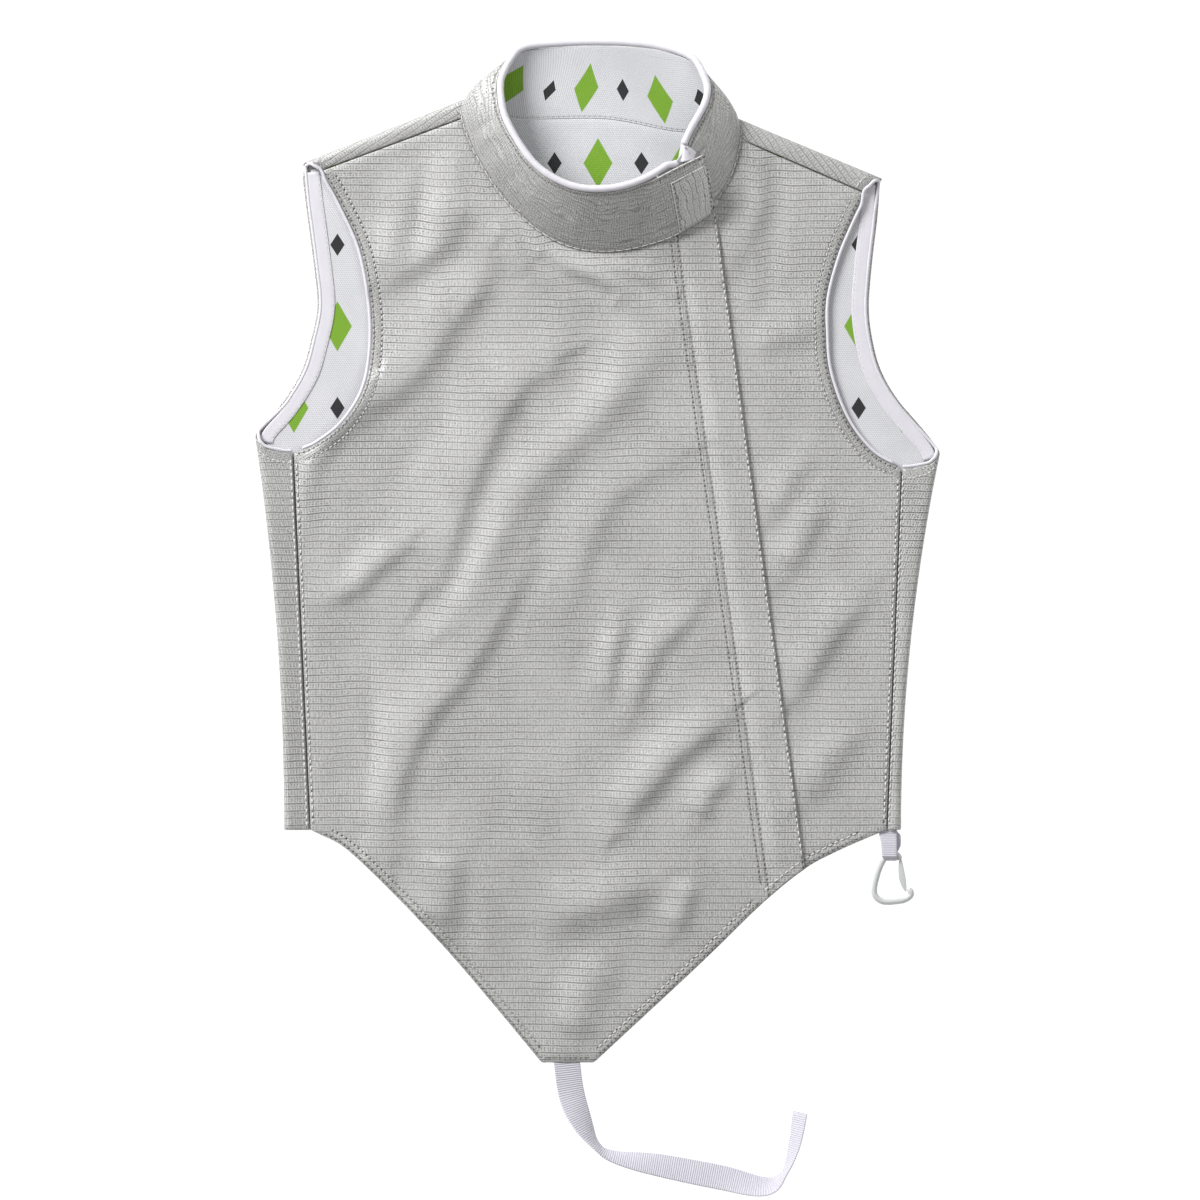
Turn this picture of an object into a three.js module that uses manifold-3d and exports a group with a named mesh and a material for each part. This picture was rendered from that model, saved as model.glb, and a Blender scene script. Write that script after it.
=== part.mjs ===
// A foil lame, the sleeveless conductive over-vest of a foil fencer, laid flat on its back with the front up.
// Millimetres. +X is the wearer's left, +Y runs from the crotch strap to the collar, +Z is up off the surface.
import * as THREE from "three";
import { mergeVertices } from "three/addons/utils/BufferGeometryUtils.js";
import Module from "manifold-3d";

const wasm = await Module();
wasm.setup();

// Driving dimensions
const seamGap = 0.3; // between neighbouring pieces
const clothWall = 1.2; // lame cloth of the back panel and the collar
const frontWall = 1.6; // lame cloth of the front with its facing
const liningWall = 1;
const liningBase = clothWall + seamGap;
const layersTop = liningBase + liningWall + 0.4; // where the front can touch the back's lining
const looseLift = 1.4; // how far the front stands off the lining between its folds
const rollRadius = 4; // outer radius of the rolled side and shoulder edges
const rollTurns = 6; // flats round half a turn of a roll
const rollArc = Math.PI * rollRadius;
const backUnderRoll = 4; // how far the rolled strips reach back into the flat back panel
const seamLift = 4.6; // underside of the front along the side seams
const shoulderLift = 5.6; // underside of the front along the shoulder seams
const neckLift = 6.8; // underside of the front along the neck seam
const cell = 20; // spacing of the cloth's sections
const hemY = -165.5;
const apronDrop = 52; // how far below the hem the apron comes down to the surface
const collarPipe = 2.7; // radius of the collar's piping
const armPipe = 1.25; // radius of the armhole piping
const placketWidth = 33;
const underCollar = 1.2; // how far the front's neck edge reaches in under the collar
const neckCentre = { x: 4, y: 372 }; // what the collar stands round
const sideInset = 0.8; // from a side seam to the front's edge
const tuckedEdge = 9; // the front side's edge under the placket, from the placket's sewn edge
const strapWidth = 20;
const strapWall = 1.2;
const hookBar = 2.2; // radius of the hook's bar
const hookAxis = { x: 224, y: -184.3, z: 5 }; // where the hook hangs in its loop
const hookDrop = 0.077; // how far the hook tips down to the surface, in radians

// The rolled sides: the silhouette at the hem and its flare at the armhole, and the side seam's two ends.
const sides = {
  right: {
    sign: -1,
    hemX: 238.6,
    flare: 22.1,
    armY: 133.8,
    seamTopX: 231.8,
    seamTopY: 121.4,
    seamHemX: 218.9,
  },
  left: {
    sign: 1,
    hemX: 230.3,
    flare: 29.6,
    armY: 120.6,
    seamTopX: 231,
    seamTopY: 109.5,
    seamHemX: 219.8,
  },
};

// The rolled shoulders: silhouette from the armhole to the neck, and the strip's width at both ends.
const shoulders = {
  right: {
    armX: -224.2,
    armY: 341.2,
    neckX: -104.9,
    neckY: 388.4,
    armStrip: 10.3,
    neckStrip: 12.7,
    armCut: 12.2,
    neckCut: 5,
  },
  left: {
    armX: 211.3,
    armY: 331.4,
    neckX: 105.5,
    neckY: 375.4,
    armStrip: 15,
    neckStrip: 13.7,
    armCut: 5,
    neckCut: 9.5,
  },
};

// The collar: its base on the neck seam and its top edge, from the front centre round the wearer's right.
const collarStations = table(`
  baseX  baseY  baseZ  topX  topY   topZ  bulge
  2      273.6  9.8    6     317.2  43.5  1
  -33    282    9.8    -23   320.3  42.5  1.5
  -67    308.6  9.8    -50   337    39.5  2
  -92    345    9.8    -71   368.5  34    3
  -103.5 374    9.4    -77   392    28    4
  -103   386    4.4    -75   409    20    5
  -91    384.5  0.6    -62.5 424.5  10    3
  -62    374.8  0      -34   428.8  3     0
  6      374.5  0      9     430    1.7   0
  62     364.8  0      47   426.6   3     0
  93     368.4  0.6    74    417.5  10    3
  105    372    4.4    85    402    20    5
  108.5  360    9.4    84.5  386    28    4
  99.6   327.6  10.8   73    364    35    3
  77.5   299.4  12.8   60.5  341.5  39.5  2
  41     279.7  10.8   35    324.5  42.5  1
`);
const flapEnd = -2.15; // the collar's upper end, in stations before the front centre
const underEnd = -1.7; // the collar's lower end, under the flap
const ringEnd = collarStations.length + underEnd;
const flapLift = 2.4; // how far the flap stands off the end below it

// The crotch strap's middle line on the surface and its roll about it, from the tip to its cut end.
const strapRoute = table(`
  x      y       roll
  -23.6  -328    0
  -23.6  -342    0
  -20    -367    8
  -12    -388    40
  -1.5   -405    74
  12     -413.5  66
  47     -420.3  34
  92.7   -429.4  24
  126.9  -436.2  48
  141.5  -425.6  78
  149    -405    66
  153.5  -380    58
`);

// The hook's frame, a rounded triangle from its nose round to the gate's root, about the loop's axis.
const hookRoute = table(`
  x      y
  12.2   -26
  13.9   -30.4
  9.3    -34.2
  1      -35.7
  -7.4   -35.7
  -13.1  -31.9
  -14.2  -25.1
  -11.2  -12.9
  -7.4   -4.4
  -4     -0.6
  0      0.4
  3.4    -0.5
  5.4    -3.6
`);

// The large folds of the front, as ridges and troughs between two points.
const folds = table(`
  x1    y1    x2    y2    spread  rise
  -59   267   -90   161   22      2.6
  -90   161   -219  55    20      3.2
  -173  153   -226  85    15      -1.3
  -150  62    -211  9     16      2
  -44   169   -116  32    17      -1.3
  51    222   -52   93    20      3.4
  -52   93    -135  -21   18      3.4
  -135  -21   -173  -158  18      2.8
  17    108   -59   9     15      -1.3
  -59   9     -143  -143  16      -1.3
  77    85    -21   -82   20      3
  108   -59   32    -112  17      2.6
  32    -112  -6    -188  18      2.2
  108   -97   32    -158  13      -1.2
  -188  -29   -196  -158  13      -1.2
  176   108   138   40    16      2.4
  222   40    153   -29   16      2.4
  214   -52   153   -97   15      2
  -120  343   -143  290   13      2.2
  -82   260   -150  214   18      2.4
  146   328   108   267   17      2.6
  77    -196  47    -257  15      2.2
  -60   -190  -85   -240  16      1.6
  -23   -322  -23   -350  17      2.9
`);

// Front outlines
const armholeFront = {
  right: table(`
    x       y
    -209    334
    -194.5  308
    -179    271
    -171.5  219
    -176    174
    -192.5  144.5
    -214.5  127
    -231.5  120.6
  `),
  left: table(`
    x      y
    202    317.5
    190.5  293
    180.8  269
    173.2  240
    172.5  214
    175.5  182
    189    146
    209    120.5
    230.7  108.6
  `),
};
const armholeBack = {
  right: table(`
    x       y
    -252.7  138
    -237    156
    -221.5  181
    -214    206
    -209    232
    -211.5  262
    -217    304
    -221    336
  `),
  left: table(`
    x      y
    252.7  125
    240    140.5
    223.5  160
    211    182
    204.3  206
    201.5  232
    204    266
    208    300
    210    327
  `),
};
const apronRight = table(`
  x       y
  -209.8  -169.5
  -190    -181
  -150.5  -219
  -105.6  -267.5
  -44.5   -340.5
`);
const apronLeft = table(`
  x      y
  -1     -340.5
  77.5   -267.5
  125.4  -221
  156.6  -195.5
  180    -182.5
  207    -170.5
`);

// The placket's edges at the neck and at the hem
const sewnTopX = 56.5;
const sewnHemX = 127.5;
const freeTopX = 88;
const freeHemX = 157;

const colours = {
  lame: { color: 0xb4b4b2, roughness: 0.55, metalness: 0.5 },
  lining: { color: 0xe9e9ee, roughness: 0.9, metalness: 0 },
  binding: { color: 0xf3f3f7, roughness: 0.8, metalness: 0 },
  webbing: { color: 0xe6e6f2, roughness: 0.7, metalness: 0 },
  plastic: { color: 0xe8ecec, roughness: 0.35, metalness: 0 },
};

const vest = new THREE.Group();

// Reads a table: the first line names its columns, and each further line is a row.
function table(text) {
  const [names, ...rows] = text
    .trim()
    .split("\n")
    .map((line) => line.trim().split(/\s+/));
  return rows.map((row) => Object.fromEntries(names.map((name, i) => [name, Number(row[i])])));
}

function addMesh(parent, name, geometry, colour) {
  const mesh = new THREE.Mesh(geometry, new THREE.MeshStandardMaterial(colour));
  mesh.name = name;
  parent.add(mesh);
  return mesh;
}

function solidOf(geometry) {
  const plain = new THREE.BufferGeometry().setAttribute("position", geometry.getAttribute("position"));
  if (geometry.index) plain.setIndex(geometry.index);
  const merged = mergeVertices(plain, 1e-3);
  return new wasm.Manifold(
    new wasm.Mesh({
      numProp: 3,
      vertProperties: merged.attributes.position.array,
      triVerts: new Uint32Array(merged.index.array),
    }),
  );
}

function geometryOf(solid) {
  const mesh = solid.getMesh();
  const geometry = new THREE.BufferGeometry();
  geometry.setAttribute("position", new THREE.BufferAttribute(mesh.vertProperties, 3));
  geometry.setIndex(new THREE.BufferAttribute(mesh.triVerts, 1));
  return geometry;
}

function volumeOf(points, triangles) {
  let volume = 0;
  for (const [a, b, c] of triangles) {
    volume += points[a].dot(points[b].clone().cross(points[c]));
  }
  return volume / 6;
}

// A closed wall between two equal grids of points.
function wallBetween(outer, inner) {
  const rows = outer.length;
  const columns = outer[0].length;
  const points = [...outer.flat(), ...inner.flat()];
  const at = (side, i, j) => side * rows * columns + i * columns + j;
  let triangles = [];
  const quad = (a, b, c, d) => triangles.push([a, b, c], [a, c, d]);
  for (let i = 0; i + 1 < rows; i += 1) {
    for (let j = 0; j + 1 < columns; j += 1) {
      quad(at(0, i, j), at(0, i, j + 1), at(0, i + 1, j + 1), at(0, i + 1, j));
      quad(at(1, i, j), at(1, i + 1, j), at(1, i + 1, j + 1), at(1, i, j + 1));
    }
  }
  for (let i = 0; i + 1 < rows; i += 1) {
    quad(at(0, i, 0), at(0, i + 1, 0), at(1, i + 1, 0), at(1, i, 0));
    quad(at(0, i + 1, columns - 1), at(0, i, columns - 1), at(1, i, columns - 1), at(1, i + 1, columns - 1));
  }
  for (let j = 0; j + 1 < columns; j += 1) {
    quad(at(0, 0, j + 1), at(0, 0, j), at(1, 0, j), at(1, 0, j + 1));
    quad(at(0, rows - 1, j), at(0, rows - 1, j + 1), at(1, rows - 1, j + 1), at(1, rows - 1, j));
  }
  if (volumeOf(points, triangles) < 0) triangles = triangles.map(([a, b, c]) => [a, c, b]);
  const geometry = new THREE.BufferGeometry().setFromPoints(points);
  geometry.setIndex(triangles.flat());
  return geometry;
}

const vector = (row) => new THREE.Vector2(row.x, row.y);
const smoothLine = (rows, steps) => new THREE.SplineCurve(rows.map(vector)).getSpacedPoints(steps);

// A flat prism over an outline, from one height to another.
function prism(outline, bottom, top) {
  const geometry = new THREE.ExtrudeGeometry(new THREE.Shape(outline), {
    depth: top - bottom,
    bevelEnabled: false,
    steps: 1,
  });
  return geometry.translate(0, 0, bottom);
}

// Cloth cut to an outline out of the laid front, in sections one cell apart.
function laidPanel(outline, wall) {
  const box = new THREE.Box2().setFromPoints(outline);
  const first = { x: Math.floor(box.min.x / cell) - 1, y: Math.floor(box.min.y / cell) - 1 };
  const across = Math.ceil(box.max.x / cell) + 2 - first.x;
  const along = Math.ceil(box.max.y / cell) + 2 - first.y;
  const layer = (lift) =>
    Array.from({ length: along }, (_, i) =>
      Array.from({ length: across }, (_, j) => {
        const [column, row] = [first.x + j, first.y + i];
        return new THREE.Vector3(column * cell, row * cell, sectionHeight(column, row) + lift);
      }),
    );
  return geometryOf(solidOf(wallBetween(layer(wall), layer(0))).intersect(solidOf(prism(outline, -5, 40))));
}

const bell = (distance, spread) => Math.exp(-((distance / spread) ** 2));

function distanceToSegment(x, y, a, b) {
  const line = new THREE.Line3(new THREE.Vector3(a.x, a.y, 0), new THREE.Vector3(b.x, b.y, 0));
  const point = new THREE.Vector3(x, y, 0);
  return line.closestPointToPoint(point, true, new THREE.Vector3()).distanceTo(point);
}

function foldHeight(x, y) {
  let height = 0;
  for (const fold of folds) {
    const away = distanceToSegment(x, y, { x: fold.x1, y: fold.y1 }, { x: fold.x2, y: fold.y2 });
    height += fold.rise * bell(away, fold.spread);
  }
  return height;
}

function seamEnds(side) {
  const { sign, seamTopX, seamTopY, seamHemX } = side;
  return [
    { x: sign * seamTopX, y: seamTopY },
    { x: sign * seamHemX, y: hemY },
  ];
}

// A shoulder's silhouette: its two ends, the way along it to the neck and the way off it.
function shoulderLine(shoulder) {
  const arm = new THREE.Vector2(shoulder.armX, shoulder.armY);
  const neck = new THREE.Vector2(shoulder.neckX, shoulder.neckY);
  const along = neck.clone().sub(arm).normalize();
  const turned = Math.sign(along.x);
  return { arm, neck, along, outward: new THREE.Vector2(-along.y * turned, along.x * turned) };
}

// Where the shoulder seam lies on the front, a strip's width in from the rolled edge.
function shoulderEnds(shoulder) {
  const { arm, neck, along, outward } = shoulderLine(shoulder);
  return [
    arm.addScaledVector(along, shoulder.armCut).addScaledVector(outward, -shoulder.armStrip),
    neck.addScaledVector(along, -shoulder.neckCut).addScaledVector(outward, -shoulder.neckStrip),
  ];
}

// Height of the front's underside: folds over the back, up to the rolls and the neck, down past the hem.
function frontHeight(x, y) {
  let height = layersTop + looseLift;
  const raise = (level, distance, spread) => {
    height += Math.max(level - layersTop - looseLift, 0) * bell(distance, spread);
  };
  let calm = 1;
  for (const side of Object.values(sides)) {
    const away = distanceToSegment(x, y, ...seamEnds(side));
    raise(seamLift, away, 26);
    calm *= 1 - 0.75 * bell(away, 22);
  }
  let nearShoulder = Infinity;
  for (const shoulder of Object.values(shoulders)) {
    nearShoulder = Math.min(nearShoulder, distanceToSegment(x, y, ...shoulderEnds(shoulder)));
  }
  const nearNeck = Math.max((Math.hypot((x - 3) / 108, (y - 380) / 107) - 1) * 107, 0);
  const shoulderShare = (shoulderLift - layersTop - looseLift) * bell(nearShoulder, 24);
  const neckShare = (neckLift - layersTop - looseLift) * bell(nearNeck, 34);
  height += Math.max(shoulderShare, neckShare);
  calm *= (1 - 0.85 * bell(nearShoulder, 18)) * (1 - 0.95 * bell(nearNeck, 22));
  const down = THREE.MathUtils.smoothstep(hemY - y, cell - 3, apronDrop);
  const fold = foldHeight(x, y) * calm;
  const body = Math.max(height + fold, layersTop);
  const apron = Math.max(fold, 0);
  return THREE.MathUtils.lerp(body, apron, down);
}

// The underside at a section's corner, worked out once for each.
const sectionHeights = new Map();
function sectionHeight(column, row) {
  const key = `${column},${row}`;
  if (!sectionHeights.has(key)) sectionHeights.set(key, frontHeight(column * cell, row * cell));
  return sectionHeights.get(key);
}

// The underside between the corners, as flat as the sections are.
function laidHeight(x, y) {
  const [column, row] = [Math.floor(x / cell), Math.floor(y / cell)];
  const [right, up] = [x / cell - column, y / cell - row];
  const near = sectionHeight(column, row);
  const far = sectionHeight(column + 1, row + 1);
  if (right >= up) {
    const side = sectionHeight(column + 1, row);
    return near + right * (side - near) + up * (far - side);
  }
  const side = sectionHeight(column, row + 1);
  return near + up * (side - near) + right * (far - side);
}

// The front's neck edge, from the right shoulder round to the left.
const neckEdge = Array.from({ length: 33 }, (_, i) => {
  const place = 4 - i / 4;
  const base = new THREE.Vector2(ringValue("baseX", place), ringValue("baseY", place));
  return base.addScaledVector(vector(neckCentre).sub(base).normalize(), underCollar);
});

// Points of the neck edge between two places along it.
const neckBetween = (fromX, toX) => neckEdge.filter((point) => point.x > fromX && point.x < toX);

// The height y of a line of points at a place x across.
function lineYAt(line, x) {
  const found = line.findIndex((point) => point.x >= x);
  const a = line[Math.max(found, 1) - 1];
  const b = line[Math.max(found, 1)];
  return THREE.MathUtils.mapLinear(x, a.x, b.x, a.y, b.y);
}

const apronLeftLine = smoothLine(apronLeft, 16);
const neckYAt = (x) => lineYAt(neckEdge, x);
const apronYAt = (x) => lineYAt(apronLeftLine, x);

function frontMainOutline() {
  const [seamTop, seamHem] = seamEnds(sides.right);
  const [arm, neck] = shoulderEnds(shoulders.right);
  return [
    new THREE.Vector2(seamHem.x + sideInset, hemY),
    ...smoothLine(apronRight, 14),
    ...apronLeftLine.filter((point) => point.x < sewnHemX - 1),
    new THREE.Vector2(sewnHemX, apronYAt(sewnHemX)),
    new THREE.Vector2(sewnTopX, neckYAt(sewnTopX)),
    ...neckBetween(neck.x + 1.5, sewnTopX - 1).reverse(),
    new THREE.Vector2(neck.x + 0.6, neck.y - 0.7),
    new THREE.Vector2(arm.x + 0.6, arm.y - 0.7),
    ...smoothLine(armholeFront.right, 30).slice(1, -1),
    new THREE.Vector2(seamTop.x + sideInset, seamTop.y - 0.4),
  ];
}

function frontSideOutline() {
  const [seamTop, seamHem] = seamEnds(sides.left);
  const [arm, neck] = shoulderEnds(shoulders.left);
  const topX = sewnTopX + tuckedEdge;
  const hemX = sewnHemX + tuckedEdge;
  return [
    new THREE.Vector2(hemX, apronYAt(hemX)),
    ...apronLeftLine.filter((point) => point.x > hemX + 2),
    new THREE.Vector2(seamHem.x - sideInset, hemY),
    new THREE.Vector2(seamTop.x - sideInset, seamTop.y - 0.4),
    ...smoothLine(armholeFront.left, 30).slice(1, -1).reverse(),
    new THREE.Vector2(arm.x - 0.4, arm.y - 0.8),
    new THREE.Vector2(neck.x - 0.4, neck.y - 0.8),
    ...neckBetween(topX + 1, neck.x - 2).reverse(),
    new THREE.Vector2(topX, neckYAt(topX)),
  ];
}

// The placket runs level with the front at its sewn edge and lies over the front side at its free edge.
function placket() {
  const sewnGap = seamGap + 0.1;
  const shares = [0, 0.1, 0.2, 0.45, 0.72, 1];
  const steps = 30;
  const face = (lift) =>
    Array.from({ length: steps + 1 }, (_, i) =>
      shares.map((share) => {
        const topX = THREE.MathUtils.lerp(sewnTopX + sewnGap, freeTopX, share);
        const hemX = THREE.MathUtils.lerp(sewnHemX + sewnGap, freeHemX, share);
        const top = new THREE.Vector2(topX, neckYAt(topX));
        const point = top.lerp(new THREE.Vector2(hemX, apronYAt(hemX)), i / steps);
        const over = THREE.MathUtils.smoothstep(share * placketWidth, 0, tuckedEdge - 2.5);
        const height = laidHeight(point.x, point.y) + over * (frontWall + 0.7) + lift;
        return new THREE.Vector3(point.x, point.y, height);
      }),
    );
  return wallBetween(face(frontWall), face(0));
}

// The silhouette of a rolled side at a height y.
function silhouetteX(side, y) {
  const share = Math.max((y - hemY) / (side.armY - hemY), 0);
  return side.hemX + side.flare * share ** 2;
}

// The turn of a roll at a distance past its fold line: how far out, how high, and the way it faces.
function rollPoint(distance) {
  if (distance <= 0) return { out: distance, up: 0, facing: -Math.PI / 2 };
  if (distance < rollArc) {
    const angle = distance / rollRadius;
    return {
      out: rollRadius * Math.sin(angle),
      up: rollRadius * (1 - Math.cos(angle)),
      facing: angle - Math.PI / 2,
    };
  }
  return { out: rollArc - distance, up: 2 * rollRadius, facing: Math.PI / 2 };
}

// A strip of the back panel rolled over its edge: rows run along the edge, columns go round the roll.
// place(along, distance, lift) gives the plan point and the height there.
function rolledStrip(rows, columns, place) {
  const face = (lift) => rows.map((along) => columns.map((column) => place(along, column, lift)));
  return wallBetween(face(0), face(clothWall));
}

const rollBends = Array.from({ length: rollTurns + 1 }, (_, i) => (rollArc * i) / rollTurns);
const strip = [0.5, 1].map((share) => ({ share })); // halfway to the side seam, and at it

// A point of a rolled side: a share of the way up it, a distance past the fold line, and a lift.
function sidePoint(side, along, column, lift) {
  const reach = column.share ? 0.6 + 0.4 * column.share : Math.max(column / rollArc, 0) * 0.6;
  const topY = THREE.MathUtils.lerp(side.armY + 3, side.seamTopY - 0.6, Math.sin((reach * Math.PI) / 2));
  const y = THREE.MathUtils.lerp(hemY, topY, along);
  const edge = silhouetteX(side, y) - rollRadius;
  const seamX = THREE.MathUtils.mapLinear(y, side.seamTopY, hemY, side.seamTopX, side.seamHemX);
  const distance = column.share ? rollArc + column.share * (edge - seamX) : column;
  const turn = rollPoint(distance);
  // Past the turn the strip comes down a little to meet the front at the side seam.
  const sink = (column.share || 0) * (2 * rollRadius - seamLift - frontWall);
  const out = turn.out - lift * Math.cos(turn.facing);
  const up = turn.up - lift * Math.sin(turn.facing) - sink;
  return new THREE.Vector3(side.sign * (edge + out), y, up);
}

function sideRoll(side) {
  const place = (along, column, lift) => sidePoint(side, along, column, lift);
  return rolledStrip([0, 0.25, 0.5, 0.75, 1], [-backUnderRoll, ...rollBends, ...strip], place);
}

// A point of a rolled shoulder: a share of the way to the neck, so far past the fold line, and a lift.
function shoulderPoint(shoulder, share, column, lift) {
  const { arm, neck, along, outward } = shoulderLine(shoulder);
  const width = THREE.MathUtils.lerp(shoulder.armStrip, shoulder.neckStrip, share);
  const distance = column.share ? rollArc + width - rollRadius : column;
  const reach = THREE.MathUtils.clamp(distance / (rollArc + width - rollRadius), 0, 1);
  const from = 2 + (shoulder.armCut - 2) * reach ** 2;
  const to = arm.distanceTo(neck) - 2.4 - (shoulder.neckCut - 1.6) * reach ** 2;
  const turn = rollPoint(distance);
  const sinkEnd = THREE.MathUtils.lerp(shoulderLift, neckLift, share) + frontWall - 0.2;
  const sink = Math.max(distance - rollArc, 0) * ((2 * rollRadius - sinkEnd) / (width - rollRadius));
  const out = turn.out - lift * Math.cos(turn.facing) - rollRadius;
  const up = turn.up - lift * Math.sin(turn.facing) - sink;
  arm.addScaledVector(along, THREE.MathUtils.lerp(from, to, share)).addScaledVector(outward, out);
  return new THREE.Vector3(arm.x, arm.y, up);
}

function shoulderRoll(shoulder) {
  const place = (share, column, lift) => shoulderPoint(shoulder, share, column, lift);
  return rolledStrip([0, 0.2, 0.4, 0.6, 0.8, 1], [-backUnderRoll, ...rollBends, strip[1]], place);
}

// A point a little inside the rolled shoulder, on the flat back.
function shoulderInside(shoulder, s, inside) {
  const { arm, neck, along, outward } = shoulderLine(shoulder);
  const start = s < 0 ? neck : arm;
  return start.addScaledVector(along, s).addScaledVector(outward, -inside);
}

// The back's neck line, just below the collar's base, from the wearer's left to the right.
const neckBack = (below) =>
  Array.from({ length: 19 }, (_, i) => {
    const place = 10.4 - i / 3.8;
    return new THREE.Vector2(ringValue("baseX", place), ringValue("baseY", place) - below);
  });

function backOutline(inset, hemInset) {
  const edgePoint = (side, y) =>
    new THREE.Vector2(side.sign * (silhouetteX(side, y) - rollRadius - inset), y);
  const sideRows = (side) =>
    [0, 0.33, 0.66, 1].map((share) =>
      edgePoint(side, THREE.MathUtils.lerp(hemY + hemInset, side.armY + 3 - inset, share)),
    );
  const armhole = (side) => {
    const sign = side === "right" ? 1 : -1;
    return smoothLine(armholeBack[side], 16)
      .slice(1, -1)
      .map((point) => new THREE.Vector2(point.x + sign * inset, point.y));
  };
  return [
    ...sideRows(sides.left),
    ...armhole("left"),
    shoulderInside(shoulders.left, 3, rollRadius + inset),
    shoulderInside(shoulders.left, -3, rollRadius + inset),
    ...neckBack(0.7 + inset * 0.2),
    shoulderInside(shoulders.right, -3, rollRadius + inset),
    shoulderInside(shoulders.right, 3, rollRadius + inset),
    ...armhole("right").reverse(),
    ...sideRows(sides.right).reverse(),
  ];
}

function backPanel() {
  let solid = solidOf(prism(backOutline(0, 0), 0, clothWall));
  for (const side of Object.values(sides)) solid = solid.add(solidOf(sideRoll(side)));
  for (const shoulder of Object.values(shoulders)) solid = solid.add(solidOf(shoulderRoll(shoulder)));
  return geometryOf(solid);
}

// The collar's outer face at a place round it (in stations) and a share of its height.
function ringValue(name, place) {
  const count = collarStations.length;
  const whole = Math.floor(place);
  const t = place - whole;
  const value = (i) => collarStations[(((whole + i) % count) + count) % count][name];
  const [a, b, c, d] = [-1, 0, 1, 2].map(value);
  const slopeB = (c - a) / 2;
  const slopeC = (d - b) / 2;
  const t2 = t * t;
  const t3 = t2 * t;
  return (2 * t3 - 3 * t2 + 1) * b + (t3 - 2 * t2 + t) * slopeB + (3 * t2 - 2 * t3) * c + (t3 - t2) * slopeC;
}

const ringPoint = (edge, place) =>
  new THREE.Vector3(...["X", "Y", "Z"].map((axis) => ringValue(edge + axis, place)));

function collarFace(place, share) {
  const point = ringPoint("base", place).lerp(ringPoint("top", place), share);
  const away = new THREE.Vector3(point.x - neckCentre.x, point.y - neckCentre.y, 0).normalize();
  point.addScaledVector(away, ringValue("bulge", place) * Math.sin(Math.PI * share));
  point.z = Math.max(point.z, 0);
  return point;
}

// A point moved inwards from the collar's outer face.
function collarPoint(place, share, depth) {
  const step = 0.02;
  const along = collarFace(place + step, share).sub(collarFace(place - step, share));
  const low = Math.max(share - 0.05, 0);
  const up = collarFace(place, low + 0.1).sub(collarFace(place, low));
  const inward = along.cross(up).normalize();
  return collarFace(place, share).addScaledVector(inward, depth);
}

// How far the collar's upper end is lifted off the end below it.
const flapDepth = (place) =>
  -flapLift * (1 - THREE.MathUtils.smoothstep(place, underEnd + 0.15, underEnd + 0.9));

// The quarters of a station between two places, which all the collar's layers share.
function quarters(from, to) {
  const first = Math.floor(from * 4) + 1;
  const last = Math.ceil(to * 4) - 1;
  return Array.from({ length: last - first + 1 }, (_, i) => (first + i) / 4);
}

function collarWall(from, to, low, high, start, wall, lifted) {
  const rows = [from, ...quarters(from, to), to];
  const shares = [low, 1 / 3, 2 / 3, high];
  const face = (depth) =>
    rows.map((place) =>
      shares.map((share) => collarPoint(place, share, depth + (lifted ? flapDepth(place) : 0))),
    );
  return wallBetween(face(start), face(start + wall));
}

// A tube along a line of points, of a section with the given number of sides.
function tube(points, radius, sides, closed = false) {
  const curve = new THREE.CatmullRomCurve3(points, closed);
  const circle = new THREE.Shape();
  for (let i = 0; i < sides; i += 1) {
    const angle = (i / sides) * 2 * Math.PI;
    if (i === 0) circle.moveTo(radius, 0);
    else circle.lineTo(radius * Math.cos(angle), radius * Math.sin(angle));
  }
  circle.closePath();
  return new THREE.ExtrudeGeometry(circle, {
    steps: points.length - 1,
    bevelEnabled: false,
    extrudePath: curve,
    curveSegments: 1,
  });
}

function collarPiping() {
  const middleDepth = 1.35; // halfway through the collar's cloth and lining
  const from = -1.35;
  const to = ringEnd - 0.25;
  const steps = 64;
  const points = Array.from({ length: steps + 1 }, (_, i) => {
    const place = THREE.MathUtils.lerp(from, to, i / steps);
    const top = collarPoint(place, 1, middleDepth);
    const next = collarPoint(place + 0.05, 1, middleDepth);
    const along = next.sub(collarPoint(place - 0.05, 1, middleDepth)).normalize();
    const up = top.clone().sub(collarPoint(place, 0.9, middleDepth)).projectOnPlane(along).normalize();
    const point = top.addScaledVector(up, collarPipe + 0.5);
    point.z = Math.max(point.z, collarPipe);
    return point;
  });
  return tube(points, collarPipe, 7);
}

// A closed ribbon swept along its middle line, as wide as given and rolled about the line.
function ribbon(middle, widthWays, width, wall) {
  const last = middle.length - 1;
  const face = (side) =>
    middle.map((point, i) => {
      const along = middle[Math.min(i + 1, last)].clone().sub(middle[Math.max(i - 1, 0)]);
      const normal = along.clone().cross(widthWays[i]).normalize();
      return [-0.5, 0, 0.5].map((share) =>
        point
          .clone()
          .addScaledVector(widthWays[i], share * width)
          .addScaledVector(normal, (side * wall) / 2),
      );
    });
  return wallBetween(face(1), face(-1));
}

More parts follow.
